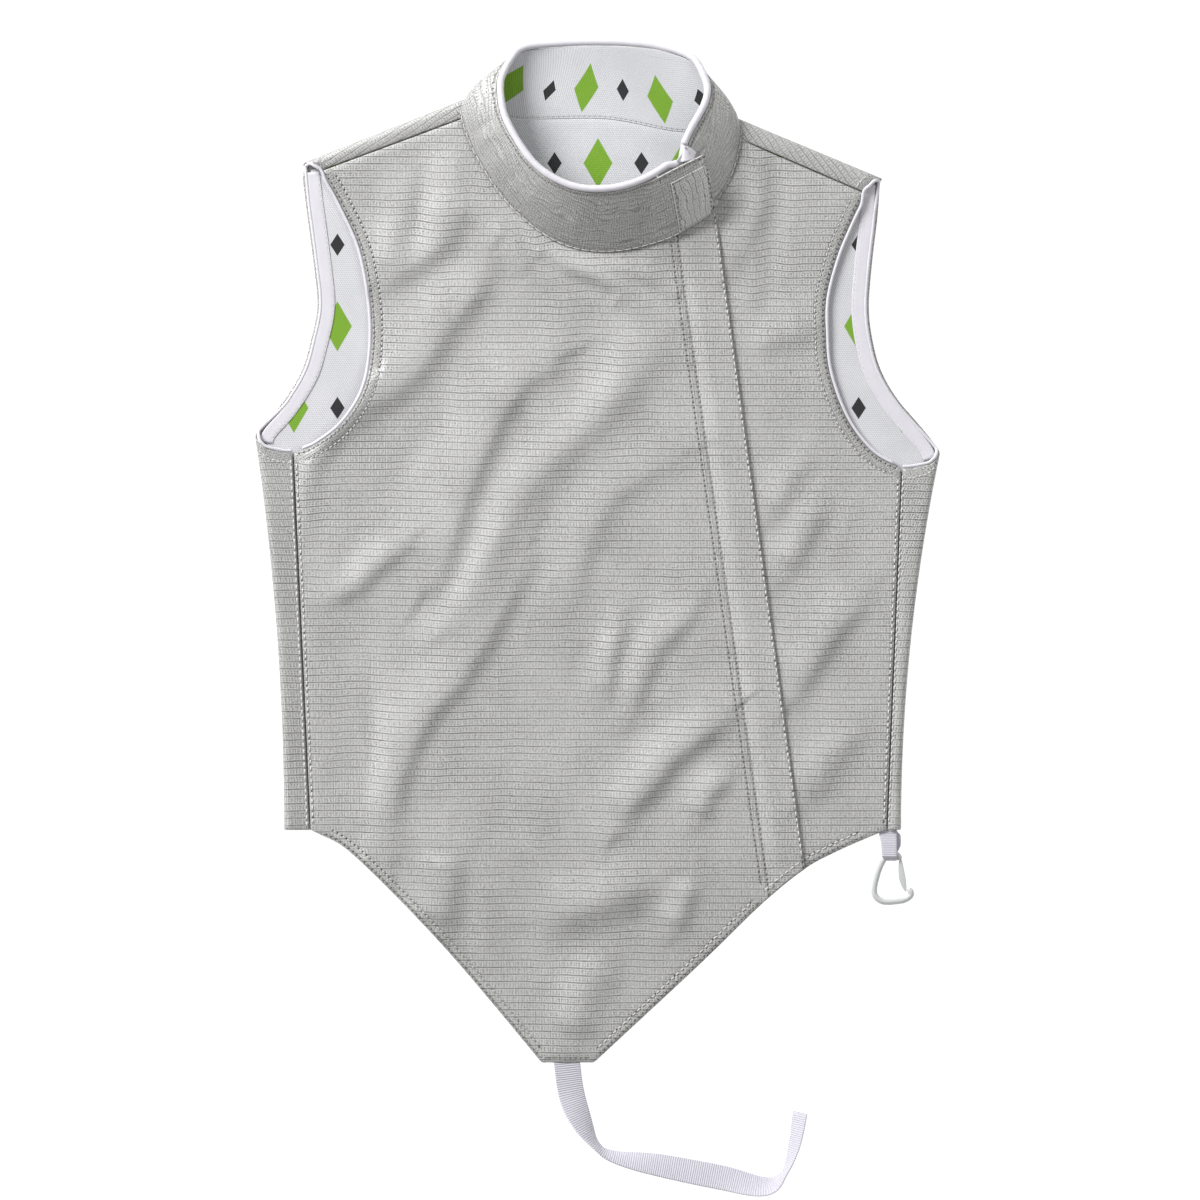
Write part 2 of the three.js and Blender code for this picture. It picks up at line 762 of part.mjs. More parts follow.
function crotchStrap() {
  const line = new THREE.CatmullRomCurve3(
    strapRoute.map((row) => new THREE.Vector3(row.x, row.y, row.roll)),
  );
  const steps = 30;
  const samples = line.getSpacedPoints(steps);
  const middle = [];
  const widthWays = [];
  samples.forEach((sample, i) => {
    const next = samples[Math.min(i + 1, steps)];
    const previous = samples[Math.max(i - 1, 0)];
    const along = new THREE.Vector3(next.x - previous.x, next.y - previous.y, 0).normalize();
    const level = new THREE.Vector3(along.y, -along.x, 0);
    const roll = THREE.MathUtils.degToRad(Math.max(sample.z, 0));
    widthWays.push(level.multiplyScalar(Math.cos(roll)).setZ(Math.sin(roll)));
    const rest = (strapWidth / 2) * Math.sin(roll) + (strapWall / 2) * Math.cos(roll);
    middle.push(new THREE.Vector3(sample.x, sample.y, rest));
  });
  return ribbon(middle, widthWays, strapWidth, strapWall);
}

// The webbing loop at the side seam's hem: two legs inside the seam and a turn round the hook's bar.
function hookLoop() {
  const wall = 1;
  const turnRadius = hookBar + 1.5 + wall / 2;
  const legs = { far: hemY + 13, low: 1.95, high: 3.2, width: 13 };
  const turnWidth = 6;
  const profile = [
    { y: legs.far, z: legs.low, width: legs.width },
    { y: hemY + 1, z: legs.low, width: legs.width },
    { y: hookAxis.y + 9, z: 1.2, width: 11 },
  ];
  for (let i = 0; i <= 8; i += 1) {
    const angle = -Math.PI / 2 - (Math.PI * i) / 8;
    profile.push({
      y: hookAxis.y + turnRadius * Math.cos(angle),
      z: hookAxis.z + turnRadius * Math.sin(angle),
      width: turnWidth,
    });
  }
  profile.push({ y: hookAxis.y + 9, z: 6.6, width: 11 });
  profile.push({ y: hemY - 1, z: legs.high + 0.1, width: legs.width });
  profile.push({ y: legs.far, z: legs.high, width: legs.width });
  const besideNose = 0.9; // the loop hangs a little to the hook's outer side
  const leftX = (row) => hookAxis.x - besideNose - (row.width - turnWidth) / 2;
  const middle = profile.map((row) => new THREE.Vector3(leftX(row), row.y, row.z));
  const widthWays = profile.map((row) => new THREE.Vector3(row.width, 0, 0));
  return ribbon(middle, widthWays, 1, wall);
}

function addHook() {
  const hook = new THREE.Group();
  hook.position.set(hookAxis.x, hookAxis.y, hookAxis.z);
  hook.rotation.x = hookDrop;
  vest.add(hook);
  const bend = new THREE.CatmullRomCurve3(hookRoute.map((row) => new THREE.Vector3(row.x, row.y, 0)));
  addMesh(hook, "hook_frame", tube(bend.getSpacedPoints(30), hookBar, 8), colours.plastic);
  // The gate is a leaf, from its root on the frame's end to its tip inside the nose.
  const leaf = [
    { x: 6.46, y: -3.4 },
    { x: 8.3, y: -12 },
    { x: 9.6, y: -21 },
    { x: 9.5, y: -27.6 },
    { x: 7.2, y: -26.2 },
    { x: 4.6, y: -20 },
    { x: 4, y: -12 },
    { x: 4.78, y: -4.48 },
  ];
  addMesh(hook, "hook_gate", prism(leaf.reverse().map(vector), -1.3, 1.3), colours.plastic);
}

// The tab sewn over the collar's closure lies on the flap.
function collarTab() {
  const rows = [-2.1, ...quarters(-2.1, -1.2), -1.2];
  const shares = [0.08, 1 / 3, 2 / 3, 0.86];
  const face = (depth) =>
    rows.map((place) => shares.map((share) => collarPoint(place, share, flapDepth(place) - depth)));
  return wallBetween(face(seamGap + 0.1), face(seamGap + 0.1 + clothWall));
}

// The zip's tape shows between the collar's ends.
function zipTape() {
  const rows = [-2.1, ...quarters(-2.1, -1.3), -1.3];
  const shares = [0.45, 2 / 3, 0.97];
  const face = (depth) => rows.map((place) => shares.map((share) => collarPoint(place, share, depth)));
  return wallBetween(face(3.1), face(4.1));
}

// A wide binding on the inside of the back's armhole, on the lining.
function armholeBinding(side) {
  const edge = smoothLine(armholeBack[side], 18);
  const sign = side === "right" ? 1 : -1;
  const width = 9;
  const start = layersTop - 0.1;
  const face = (z) =>
    edge.slice(1, -1).map((point, i) => {
      const along = edge[i + 2].clone().sub(edge[i]).normalize();
      const inward = new THREE.Vector2(sign * Math.abs(along.y), -along.x * Math.sign(along.y || 1) * sign);
      return [1, width].map((far) => {
        const place = point.clone().addScaledVector(inward, far);
        return new THREE.Vector3(place.x, place.y, z);
      });
    });
  return wallBetween(face(start), face(start + 0.8));
}

// The armhole's piping runs from the side seam up the front's edge, over the shoulder, down the back's edge
// and round the rolled side to the seam again.
function armholePiping(name) {
  const [side, shoulder] = [sides[name], shoulders[name]];
  const off = armPipe + 0.45;
  const middle = clothWall / 2;
  const outOf = (line, sign) =>
    line.slice(1, -1).map((point, i) => {
      const along = line[i + 2].clone().sub(line[i]).normalize();
      return point.clone().add(new THREE.Vector2(-along.y, along.x).multiplyScalar(sign * off));
    });
  const frontLine = outOf(smoothLine(armholeFront[name], 30).reverse(), side.sign < 0 ? 1 : -1);
  const front = frontLine.map((p) => new THREE.Vector3(p.x, p.y, laidHeight(p.x, p.y) + frontWall / 2));
  const backLine = outOf(smoothLine(armholeBack[name], 20).reverse(), side.sign < 0 ? -1 : 1);
  const back = backLine.slice(1, -1).map((p) => new THREE.Vector3(p.x, p.y, armPipe + 0.1));
  const clear = (point, away) => {
    point.add(away);
    point.z = Math.max(point.z, armPipe + 0.1);
    return point;
  };
  // Round the rolls the edge runs aslant, so the piping stands further off along it.
  const rise = (column) => new THREE.Vector3(0, column.share ? off * 1.15 : off * 2.1, 0);
  const bottom = [...rollBends.slice(1), ...strip].map((column) =>
    clear(sidePoint(side, 1, column, middle), rise(column)),
  );
  const armEnd = shoulderPoint(shoulder, 0, 0, 0);
  const outwards = armEnd.sub(shoulderPoint(shoulder, 1, 0, 0)).setLength(off * 1.6);
  const top = [...rollBends.slice(1), strip[1]].map((column) =>
    clear(shoulderPoint(shoulder, 0, column, middle), outwards),
  );
  bottom.at(-1).x += side.sign * 0.8;
  const path = new THREE.CatmullRomCurve3([...front, ...top.reverse(), ...back, ...bottom]);
  const samples = path.getSpacedPoints(66);
  for (const point of samples) point.z = Math.max(point.z, armPipe + 0.15);
  return tube(samples, armPipe, 5);
}

addMesh(vest, "front_main", laidPanel(frontMainOutline(), frontWall), colours.lame);
addMesh(vest, "front_side", laidPanel(frontSideOutline(), frontWall), colours.lame);
addMesh(vest, "placket", placket(), colours.lame);
addMesh(vest, "back_panel", backPanel(), colours.lame);
const liningInset = 3.5;
const liningHem = 26; // the lining ends this far above the hem
addMesh(
  vest,
  "back_lining",
  prism(backOutline(liningInset, liningHem), liningBase, liningBase + liningWall),
  colours.lining,
);
addMesh(vest, "collar", collarWall(flapEnd, ringEnd, 0, 1, 0, clothWall, true), colours.lame);
const liningStart = clothWall + 0.5;
addMesh(
  vest,
  "collar_lining",
  collarWall(-1.35, ringEnd - 0.1, 0.05, 1, liningStart, liningWall, false),
  colours.lining,
);
addMesh(vest, "collar_piping", collarPiping(), colours.binding);
addMesh(vest, "collar_tab", collarTab(), colours.lame);
addMesh(vest, "zip_tape", zipTape(), colours.binding);
addMesh(vest, "armhole_binding_right", armholeBinding("right"), colours.binding);
addMesh(vest, "armhole_binding_left", armholeBinding("left"), colours.binding);
addMesh(vest, "armhole_piping_right", armholePiping("right"), colours.binding);
addMesh(vest, "armhole_piping_left", armholePiping("left"), colours.binding);
addMesh(vest, "crotch_strap", crotchStrap(), colours.webbing);
addMesh(vest, "hook_loop", hookLoop(), colours.webbing);
addHook();

export default vest;
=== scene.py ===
import math

import bpy
import numpy as np
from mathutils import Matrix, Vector, geometry


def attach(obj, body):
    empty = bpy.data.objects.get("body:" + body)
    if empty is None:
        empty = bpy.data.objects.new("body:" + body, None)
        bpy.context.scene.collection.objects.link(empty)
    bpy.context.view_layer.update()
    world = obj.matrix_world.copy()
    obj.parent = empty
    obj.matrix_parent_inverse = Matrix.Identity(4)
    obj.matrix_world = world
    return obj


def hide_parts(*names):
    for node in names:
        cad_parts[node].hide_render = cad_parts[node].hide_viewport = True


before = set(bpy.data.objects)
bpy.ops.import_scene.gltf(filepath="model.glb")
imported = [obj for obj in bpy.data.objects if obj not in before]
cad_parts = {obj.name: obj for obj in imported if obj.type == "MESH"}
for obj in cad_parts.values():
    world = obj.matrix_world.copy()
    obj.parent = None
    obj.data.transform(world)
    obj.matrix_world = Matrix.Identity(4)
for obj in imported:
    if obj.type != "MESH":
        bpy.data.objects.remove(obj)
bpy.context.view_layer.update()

mm = 0.001
print("frame loaded")

# All measures are in millimetres: X to the wearer's left, Y up the body, Z off the surface the lame lies on.


def readRows(text, columns=2):
    return np.array(text.split(), float).reshape(-1, columns)


def smoothstep(x, low, high):
    t = np.clip((np.asarray(x, float) - low) / (high - low), 0, 1)
    return t * t * (3 - 2 * t)


def bell(distance, spread):
    return np.exp(-((distance / spread) ** 2))


def lerp(a, b, share):
    return a + (b - a) * share


def unit(ways):
    return ways / np.maximum(np.linalg.norm(ways, axis=-1, keepdims=True), 1e-9)


def joinSmooth(t, start, leaving, end, arriving):  # between two points, from the ways it leaves and arrives
    return (
        (2 * t**3 - 3 * t**2 + 1) * start
        + (t**3 - 2 * t**2 + t) * leaving
        + (3 * t**2 - 2 * t**3) * end
        + (t**3 - t**2) * arriving
    )


def catmull(points, t, closed=False):  # t counts in points
    points = np.asarray(points, float)
    last = len(points) if closed else len(points) - 1
    t = np.clip(t, 0, last - 1e-9)
    whole = np.floor(t).astype(int)
    near = [(whole + i) % last if closed else np.clip(whole + i, 0, last) for i in (-1, 0, 1, 2)]
    a, b, c, d = (points[i] for i in near)
    return joinSmooth((t - whole)[:, None], b, (c - a) / 2, c, (d - b) / 2)


def lengthsAlong(points):
    return np.concatenate([[0], np.cumsum(np.linalg.norm(np.diff(points, axis=0), axis=1))])


def pointsAt(points, along, at):
    return np.stack([np.interp(at, along, column) for column in points.T], -1)


def evenly(points, spacing):  # the same line with points a spacing apart
    along = lengthsAlong(points)
    return pointsAt(points, along, np.linspace(0, along[-1], max(int(round(along[-1] / spacing)), 1) + 1))


def partOf(points, start, end):  # a line without so many millimetres at its ends
    along = lengthsAlong(points)
    return pointsAt(points, along, np.linspace(start, along[-1] - end, len(points)))


def smoothLine(points, spacing):
    return evenly(catmull(points, np.linspace(0, len(points) - 1, 40 * len(points))), spacing)


def waysAlong(points):
    return unit(np.gradient(points, axis=0))


def offsetLine(points, distance):  # to the left of the way it runs
    ways = waysAlong(points)
    return points + distance * np.stack([-ways[:, 1], ways[:, 0]], 1)


def toSegment(x, y, x1, y1, x2, y2):  # the distance to a straight piece, and the share of the way along it
    dx, dy = x2 - x1, y2 - y1
    t = np.clip(((x - x1) * dx + (y - y1) * dy) / max(dx * dx + dy * dy, 1e-9), 0, 1)
    return np.hypot(x - x1 - t * dx, y - y1 - t * dy), t


def nearestOnLines(points, lines):  # how far along and how far off the nearest line each point is
    along, off = np.zeros(len(points)), np.full(len(points), 1e3)
    start = 0.0
    for line in lines:
        lengths = lengthsAlong(line)
        for a, b, near, far in zip(line, line[1:], lengths, lengths[1:]):
            away, t = toSegment(*points.T, *a, *b)
            closer = away < off
            off[closer] = away[closer]
            along[closer] = start + near + t[closer] * (far - near)
        start += lengths[-1] + 10
    return along, off


def insideOutline(points, outline):
    inside = np.zeros(len(points), bool)
    x, y = points.T
    for (x1, y1), (x2, y2) in zip(outline, np.roll(outline, -1, axis=0)):
        if abs(y2 - y1) > 1e-9:
            inside ^= ((y1 > y) != (y2 > y)) & (x < (x2 - x1) * (y - y1) / (y2 - y1) + x1)
    return inside


# The shapes that all the pieces share
wall = {"lame": 1.2, "front": 1.6, "lining": 1.0, "binding": 0.6}
liningBase = wall["lame"] + 0.3
layersTop = liningBase + wall["lining"] + 0.4
rollRadius = 4.0  # of the sides and shoulders, where the back turns over
rollArc = math.pi * rollRadius
lifts = {"side": 4.6, "shoulder": 5.6, "neck": 6.8}
hemY = -165.5
sidesBelow, shouldersAbove = 160, 300
neckCentre = np.array([4.0, 372.0])
sideSeams = {
    "right": {"sign": -1, "hemX": 238.6, "flare": 22.1, "armY": 133.8, "top": (231.8, 121.4), "seamHemX": 218.9},
    "left": {"sign": 1, "hemX": 230.3, "flare": 29.6, "armY": 120.6, "top": (231.0, 109.5), "seamHemX": 219.8},
}
shoulders = {
    "right": {"arm": (-224.2, 341.2), "neck": (-104.9, 388.4), "strips": (10.3, 12.7), "cuts": (12.2, 5)},
    "left": {"arm": (211.3, 331.4), "neck": (105.5, 375.4), "strips": (15, 13.7), "cuts": (5, 9.5)},
}
placketEdges = {"sewnTop": 56.5, "sewnHem": 127.5, "freeTop": 88, "freeHem": 157, "tucked": 9}

# How the front lies on what is under it. Calm is how much less it folds near an edge, and how far in that reaches.
lie = {
    "loose": layersTop + 1.4,
    "spread": {"side": 26, "shoulder": 24, "neck": 34},
    "calm": {"side": (0.75, 22), "shoulder": (0.85, 18), "neck": (0.95, 9), "neckCreases": (0.8, 6)},
    "neckOval": {"middle": (3, 380), "wide": 108, "tall": 107},
    "layersEnd": (6, 110),  # below the hem's line
    "folds": 1.9,
    "foldEnds": (0.45, 0.22),  # how high they start, and the share of their length in which they rise
    "creases": 0.8,
    "underCreases": 0.3,
    "softEdge": 0.7,  # how gently a fold comes down to the layers below it
    "ridge": {"line": (57.1, 277, 128.2, -222), "spread": 2.0, "rise": 0.7},  # where the placket is sewn down
    "neckRises": ((50.0, 283.5, 1.5), (97.0, 322.0, 1.6)),  # on each side of the placket
    "neckRiseSpread": 11.0,
}

# The large folds of the front: rise, spread on the steep lower right side and on the other, and the crest's points
folds = [
    (2.2, 10, 26, "-106 325 -106 305 -118 281 -141 264 -164 251"),
    (2.6, 11, 30, "-83 268 -96 241 -116 216 -136 186 -158 166 -180 158"),
    (2.8, 9.5, 32, "-36 187 -56 176 -75 150 -89 119 -102 88 -112 57 -118 36 -127 22"),
    (3.2, 15, 8, "-172 174 -186 152 -205 131 -219 112 -226 80 -227 40"),
    (-1.3, 9, 9, "-186 138 -206 112 -214 84 -218 50"),
    (1.8, 5, 12, "-66 304 -63 284 -55 266 -50 254"),
    (1.8, 5.5, 12, "-59 304 -38 277 -23 263 -2 255 18 246 32 232"),
    (1.2, 5.5, 12, "-22 281 8 267 38 255 53 245"),
    (1.4, 5, 12, "-89 342 -76 318 -69 303"),
    (1.6, 11, 26, "56 116 38 109 12 90 -4 66 -15 36 -20 5 -20 -18"),
    (2.2, 14, 22, "52 222 38 195 18 168 -8 142 -38 112 -62 85 -78 52 -92 18 -112 -8"),
    (2.7, 9.5, 30, "-56 42 -72 6 -87 -23 -107 -53 -127 -74 -142 -100 -152 -126 -159 -160 -157 -182"),
    (2.0, 8, 16, "-146 52 -166 37 -186 18 -207 8"),
    (-2.2, 12, 32, "-182 -10 -179 -60 -176 -110 -178 -160"),
    (2.6, 11, 24, "-112 -180 -114 -212 -120 -242"),
    (1.0, 14, 9, "-88 -200 -84 -262"),
    (1.4, 5, 12, "17 -12 10 -38 7 -64"),
    (1.9, 8, 16, "78 12 64 -8 44 -28 32 -54 24 -80"),
    (2.8, 8.5, 22, "98 -78 74 -97 54 -113 39 -133 24 -148 16 -164"),
    (1.9, 7, 14, "99 -124 84 -139 76 -158"),
    (2.5, 14, 22, "40 -206 8 -220 -32 -232"),
    (2.2, 8, 14, "72 -204 58 -242"),
    (2.4, 16, 20, "6 -262 -12 -296 -18 -326"),
    (1.2, 8, 14, "158 118 143 95 132 74"),
    (1.8, 8.5, 16, "169 84 154 52 143 30"),
    (2.4, 9.5, 22, "204 12 184 -8 163 -38 149 -62"),
    (1.5, 10, 18, "200 -84 174 -113 154 -142"),
    (1.3, 8, 14, "124 326 122 305 109 280 99 260"),
    (1.2, 10, 16, "160 215 118 203"),
    (0.9, 8, 14, "-140 338 -148 300 -160 272"),
]

# The small creases between them: x and y of both ends, spread and rise. They are uneven in length and depth.
creases = readRows("""
-66 305 -52 262 6 -0.9   -54 297 -38 252 6 1      -40 288 -8 246 7 -0.9     -20 276 14 240 8 0.7
-84 330 -92 296 6 0.8    -100 352 -112 318 6 0.7  122 342 117 236 8 1.3     134 332 130 240 7 -0.8
100 330 103 286 7 0.7    150 318 146 262 8 0.8    42 268 30 232 8 0.6       -120 338 -123 236 9 1
-136 330 -142 262 7 -0.7 -160 318 -158 268 8 0.6  -28 236 -44 150 9 0.8     -8 222 -20 140 8 -0.7
20 205 2 120 9 0.9       40 160 22 84 8 -0.6      -96 236 -104 158 9 0.7    -118 150 -160 92 8 -0.7
-75 60 -122 -16 9 0.8    -30 30 -82 -58 8 0.7     -100 -60 -126 -130 9 0.7  0 40 -24 -22 8 -0.7
22 10 -6 -60 9 0.8       60 30 34 -30 8 0.6       80 -10 52 -64 9 0.8       -60 -96 -80 -168 9 -0.6
-24 -110 -44 -176 10 0.7 10 -170 0 -236 10 0.8    -30 -212 -42 -280 10 0.7  38 -222 18 -284 9 -0.6
160 20 136 -34 8 0.7     186 -20 164 -66 8 -0.6   196 84 174 36 8 0.7       196 -96 168 -138 8 0.7
-196 60 -214 10 8 0.6    -198 -60 -206 -120 8 0.6 -204 104 -222 60 7 0.6
""", 6)


def shoulderLine(name):
    arm, neck = np.array(shoulders[name]["arm"]), np.array(shoulders[name]["neck"])
    along = (neck - arm) / np.hypot(*(neck - arm))
    return arm, neck, along, np.array([-along[1], along[0]]) * np.sign(along[0])


def shoulderEnds(name):
    arm, neck, along, outward = shoulderLine(name)
    strips, cuts = shoulders[name]["strips"], shoulders[name]["cuts"]
    return arm + along * cuts[0] - outward * strips[0], neck - along * cuts[1] - outward * strips[1]


def seamEnds(name):
    side = sideSeams[name]
    return np.array([side["sign"] * side["top"][0], side["top"][1]]), np.array([side["sign"] * side["seamHemX"], hemY])


def smallFolds(x, y, rows):
    return sum(rise * bell(toSegment(x, y, *ends)[0], spread) for *ends, spread, rise in rows)


def largeFolds(x, y):
    height = np.zeros_like(x)
    for rise, steep, gentle, crest in folds:
        points = readRows(crest)
        along = lengthsAlong(points)
        near, side, share = np.full_like(x, 1e3), np.ones_like(x), np.zeros_like(x)
        for (x1, y1), (x2, y2), start in zip(points, points[1:], along):
            dx, dy = x2 - x1, y2 - y1
            away, t = toSegment(x, y, x1, y1, x2, y2)
            closer = away < near
            near = np.where(closer, away, near)
            side = np.where(closer, ((y - y1) * dx - (x - x1) * dy) * np.sign(-dy - dx), side)
            share = np.where(closer, (start + t * np.hypot(dx, dy)) / along[-1], share)
        least, within = lie["foldEnds"]
        fade = lerp(least, 1, smoothstep(np.minimum(share, 1 - share), 0, within))
        height += rise * fade * bell(near, np.where(side > 0, steep, gentle))
    return height


def frontHeight(x, y):  # the front's underside
    def lifted(edge, away):
        return (lifts[edge] - lie["loose"]) * bell(away, lie["spread"][edge])

    def calmed(edge, away):
        share, spread = lie["calm"][edge]
        return 1 - share * bell(away, spread)

    height, calm = np.full_like(x, lie["loose"]), np.ones_like(x)
    for name in sideSeams:
        top, hem = seamEnds(name)
        away = toSegment(x, y, *top, *hem)[0]
        height += lifted("side", away)
        calm *= calmed("side", away)
    toShoulder = np.min([toSegment(x, y, *np.ravel(shoulderEnds(name)))[0] for name in shoulders], 0)
    oval = lie["neckOval"]
    middleX, middleY = oval["middle"]
    toNeck = np.maximum((np.hypot((x - middleX) / oval["wide"], (y - middleY) / oval["tall"]) - 1) * oval["tall"], 0)
    height += np.maximum(lifted("shoulder", toShoulder), lifted("neck", toNeck))
    small = lie["creases"] * smallFolds(x, y, creases)
    fold = lie["folds"] * largeFolds(x, y) * calm * calmed("shoulder", toShoulder) * calmed("neck", toNeck)
    fold += small * calmed("neckCreases", toNeck)
    ridge = lie["ridge"]
    height += ridge["rise"] * bell(toSegment(x, y, *ridge["line"])[0], ridge["spread"])
    for x1, y1, rise in lie["neckRises"]:
        height += rise * bell(np.hypot(x - x1, y - y1), lie["neckRiseSpread"])
    resting = layersTop + lie["underCreases"] * np.tanh(small)
    body = resting + lie["softEdge"] * np.logaddexp((height + fold - resting) / lie["softEdge"], 0)
    return lerp(body, np.maximum(fold, 0), smoothstep(hemY - y, *lie["layersEnd"]))


# The collar's stations round the neck: its base, its top, and how far it bulges between them
collarStations = readRows("""
2 273.6 9.8    6 317.2 43.5    1
-33 282 9.8    -23 320.3 42.5  1.5
-67 308.6 9.8  -50 337 39.5    2
-92 345 9.8    -71 368.5 34    3
-103.5 374 9.4 -77 392 28      4
-103 386 4.4   -75 409 20      5
-91 384.5 0.6  -62.5 424.5 10  3
-62 374.8 0    -34 428.8 3     0
6 374.5 0      9 430 1.7       0
62 364.8 0     47 426.6 3      0
93 368.4 0.6   74 417.5 10     3
105 372 4.4    85 402 20       5
108.5 360 9.4  84.5 386 28     4
99.6 327.6 10.8 73 364 35      3
77.5 299.4 12.8 60.5 341.5 39.5 2
41 279.7 10.8  35 324.5 42.5   1
""", 7)
stationCount = len(collarStations)
ringParts = {"base": slice(0, 3), "top": slice(3, 6), "bulge": slice(6, 7)}

# Where the collar's upper end stops, over its lower end, which leans out a little
flap = {"start": -1.35, "reach": 0.8, "long": 38.0, "base": (86.3, 303.2, 14.6), "top": (80.2, 347.5, 34.5)}
flapCrown = 1.4 * np.array([0.6, -0.5, 0.6])
lowerEnd = {"from": 13.3, "to": 14.15, "lean": (8.0, 1.0, -3.0)}


def ringPoint(part, place):
    return catmull(collarStations[:, ringParts[part]], np.asarray(place, float) % stationCount, closed=True)


def ringFace(place, share):
    place, share = np.broadcast_arrays(np.asarray(place, float), np.asarray(share, float))
    flat, high = place.ravel(), share.ravel()[:, None]
    point = lerp(ringPoint("base", flat), ringPoint("top", flat), high)
    point[:, :2] += unit(point[:, :2] - neckCentre) * ringPoint("bulge", flat) * np.sin(math.pi * high)
    point[:, 2] = np.maximum(point[:, 2], 0)
    return point.reshape(*place.shape, 3)


def collarFace(place, share):  # the ring, with its upper end running straight on
    place, share = np.broadcast_arrays(np.asarray(place, float), np.asarray(share, float))
    point = ringFace(place, share)
    lean = smoothstep(place, lowerEnd["from"], lowerEnd["to"]) * (place < stationCount - 1)
    point += (lean * np.clip(share, 0, 1) ** 2)[..., None] * np.array(lowerEnd["lean"])
    on = place < flap["start"]
    if on.any():
        t, high = (flap["start"] - place[on])[:, None] / flap["reach"], share[on]
        start = ringFace(flap["start"], high)
        end = lerp(np.array(flap["base"]), np.array(flap["top"]), high[:, None])
        end += flapCrown * np.sin(math.pi * high)[:, None]
        way = unit(ringFace(flap["start"] - 0.05, high) - ringFace(flap["start"] + 0.05, high))
        way *= np.linalg.norm(end - start, axis=1, keepdims=True)
        point[on] = joinSmooth(t, start, way, end, end - start)
    return point


def collarPoint(place, share, depth, face=collarFace):  # moved inwards from the collar's outer face
    along = face(np.asarray(place) + 0.02, share) - face(np.asarray(place) - 0.02, share)
    low = np.maximum(np.asarray(share) - 0.05, 0)
    inward = unit(np.cross(along, face(place, low + 0.1) - face(place, low)))
    return face(place, share) + inward * np.asarray(depth)[..., None]


neckEdge = ringPoint("base", 4 - np.arange(129) / 16)[:, :2]
neckEdge += 1.2 * unit(neckCentre - neckEdge)
armholeFront = {
    "right": readRows("-209 334 -194.5 308 -179 271 -171.5 219 -176 174 -192.5 144.5 -214.5 127 -231.5 120.6"),
    "left": readRows("202 317.5 190.5 293 180.8 269 173.2 240 172.5 214 175.5 182 189 146 209 120.5 230.7 108.6"),
}
armholeBack = {
    "right": readRows("-252.7 138 -237 156 -221.5 181 -214 206 -209 232 -211.5 262 -217 304 -221 336"),
    "left": readRows("252.7 125 240 140.5 223.5 160 211 182 204.3 206 201.5 232 204 266 208 300 210 327"),
}
apronRight = smoothLine(readRows("-209.8 -169.5 -190 -181 -150.5 -219 -105.6 -267.5 -44.5 -340.5"), 2.5)
apronLeft = smoothLine(readRows("-1 -340.5 77.5 -267.5 125.4 -221 156.6 -195.5 180 -182.5 207 -170.5"), 2.5)


def neckYAt(x):
    return np.interp(x, *neckEdge.T)


def apronYAt(x):
    return np.interp(x, *apronLeft.T)


# Materials: a field is a node's result, and fields add, multiply and so on as numbers do


def plug(value, socket):  # links a field, or sets a plain value
    if isinstance(value, Field):
        socket.id_data.links.new(value.socket, socket)
    else:
        socket.default_value = value


def put(tree, kind, feed=(), out=0, **settings):  # adds a node and gives one of its results
    made = tree.nodes.new("ShaderNode" + kind)
    for name, value in settings.items():
        setattr(made, name, value)
    for name, value in dict(feed).items():
        plug(value, made.inputs[name])
    return Field(made.outputs[out])


def mixed(tree, share, first, second):
    return put(tree, "Mix", {"Factor": share, 6: first, 7: second}, 2, data_type="RGBA")


class Field:
    def __init__(self, socket):
        self.socket = socket
        self.tree = socket.id_data

    def calc(self, operation, *others):
        return put(self.tree, "Math", enumerate([self, *others]), operation=operation)

    def __add__(self, other):
        return self.calc("ADD", other)

    def __sub__(self, other):
        return self.calc("SUBTRACT", other)

    def __mul__(self, other):
        return self.calc("MULTIPLY", other)

    def __truediv__(self, other):
        return self.calc("DIVIDE", other)

    def __pow__(self, other):
        return self.calc("POWER", other)

    def ramp(self, low, high, start=0.0, end=1.0):
        feed = {"Value": self, "From Min": low, "From Max": high, "To Min": start, "To Max": end}
        return put(self.tree, "MapRange", feed, interpolation_type="SMOOTHSTEP")

    def wave(self, length):
        return (self * (2 * math.pi / length)).calc("SINE")

    def fromMiddle(self):  # of each whole step
        return (self.calc("FRACT") - 0.5).calc("ABSOLUTE")

    def blend(self, first, second):
        return mixed(self.tree, self, first, second)

    def noise(self, scales, detail=2.0, shift=(0, 0, 0), roughness=0.5):
        moved = put(self.tree, "Mapping", {"Vector": self, "Scale": scales, "Location": shift})
        return put(self.tree, "TexNoise", {"Vector": moved, "Scale": 1.0, "Detail": detail, "Roughness": roughness})

    def split(self):
        parts = put(self.tree, "SeparateXYZ", {0: self})
        return parts, parts.beside(1)

    def beside(self, out):  # another result of the same node
        return Field(self.socket.node.outputs[out])


def shaderGroup(name, inputs, build):  # build gives the group's results by name
    tree = bpy.data.node_groups.new(name, "ShaderNodeTree")

    def addSocket(label, way):
        kind = {"Vector": "Vector", "Color": "Color"}.get(label, "Float")
        return tree.interface.new_socket(label, in_out=way, socket_type="NodeSocket" + kind)

    for label, value in inputs.items():
        made = addSocket(label, "INPUT")
        if value is not None:
            made.default_value = value
    given = tree.nodes.new("NodeGroupInput").outputs
    results = build(tree, {label: Field(given[label]) for label in inputs})
    for label in results:
        addSocket(label, "OUTPUT")
    taken = tree.nodes.new("NodeGroupOutput").inputs
    for label, value in results.items():
        plug(value, taken[label])
    return tree


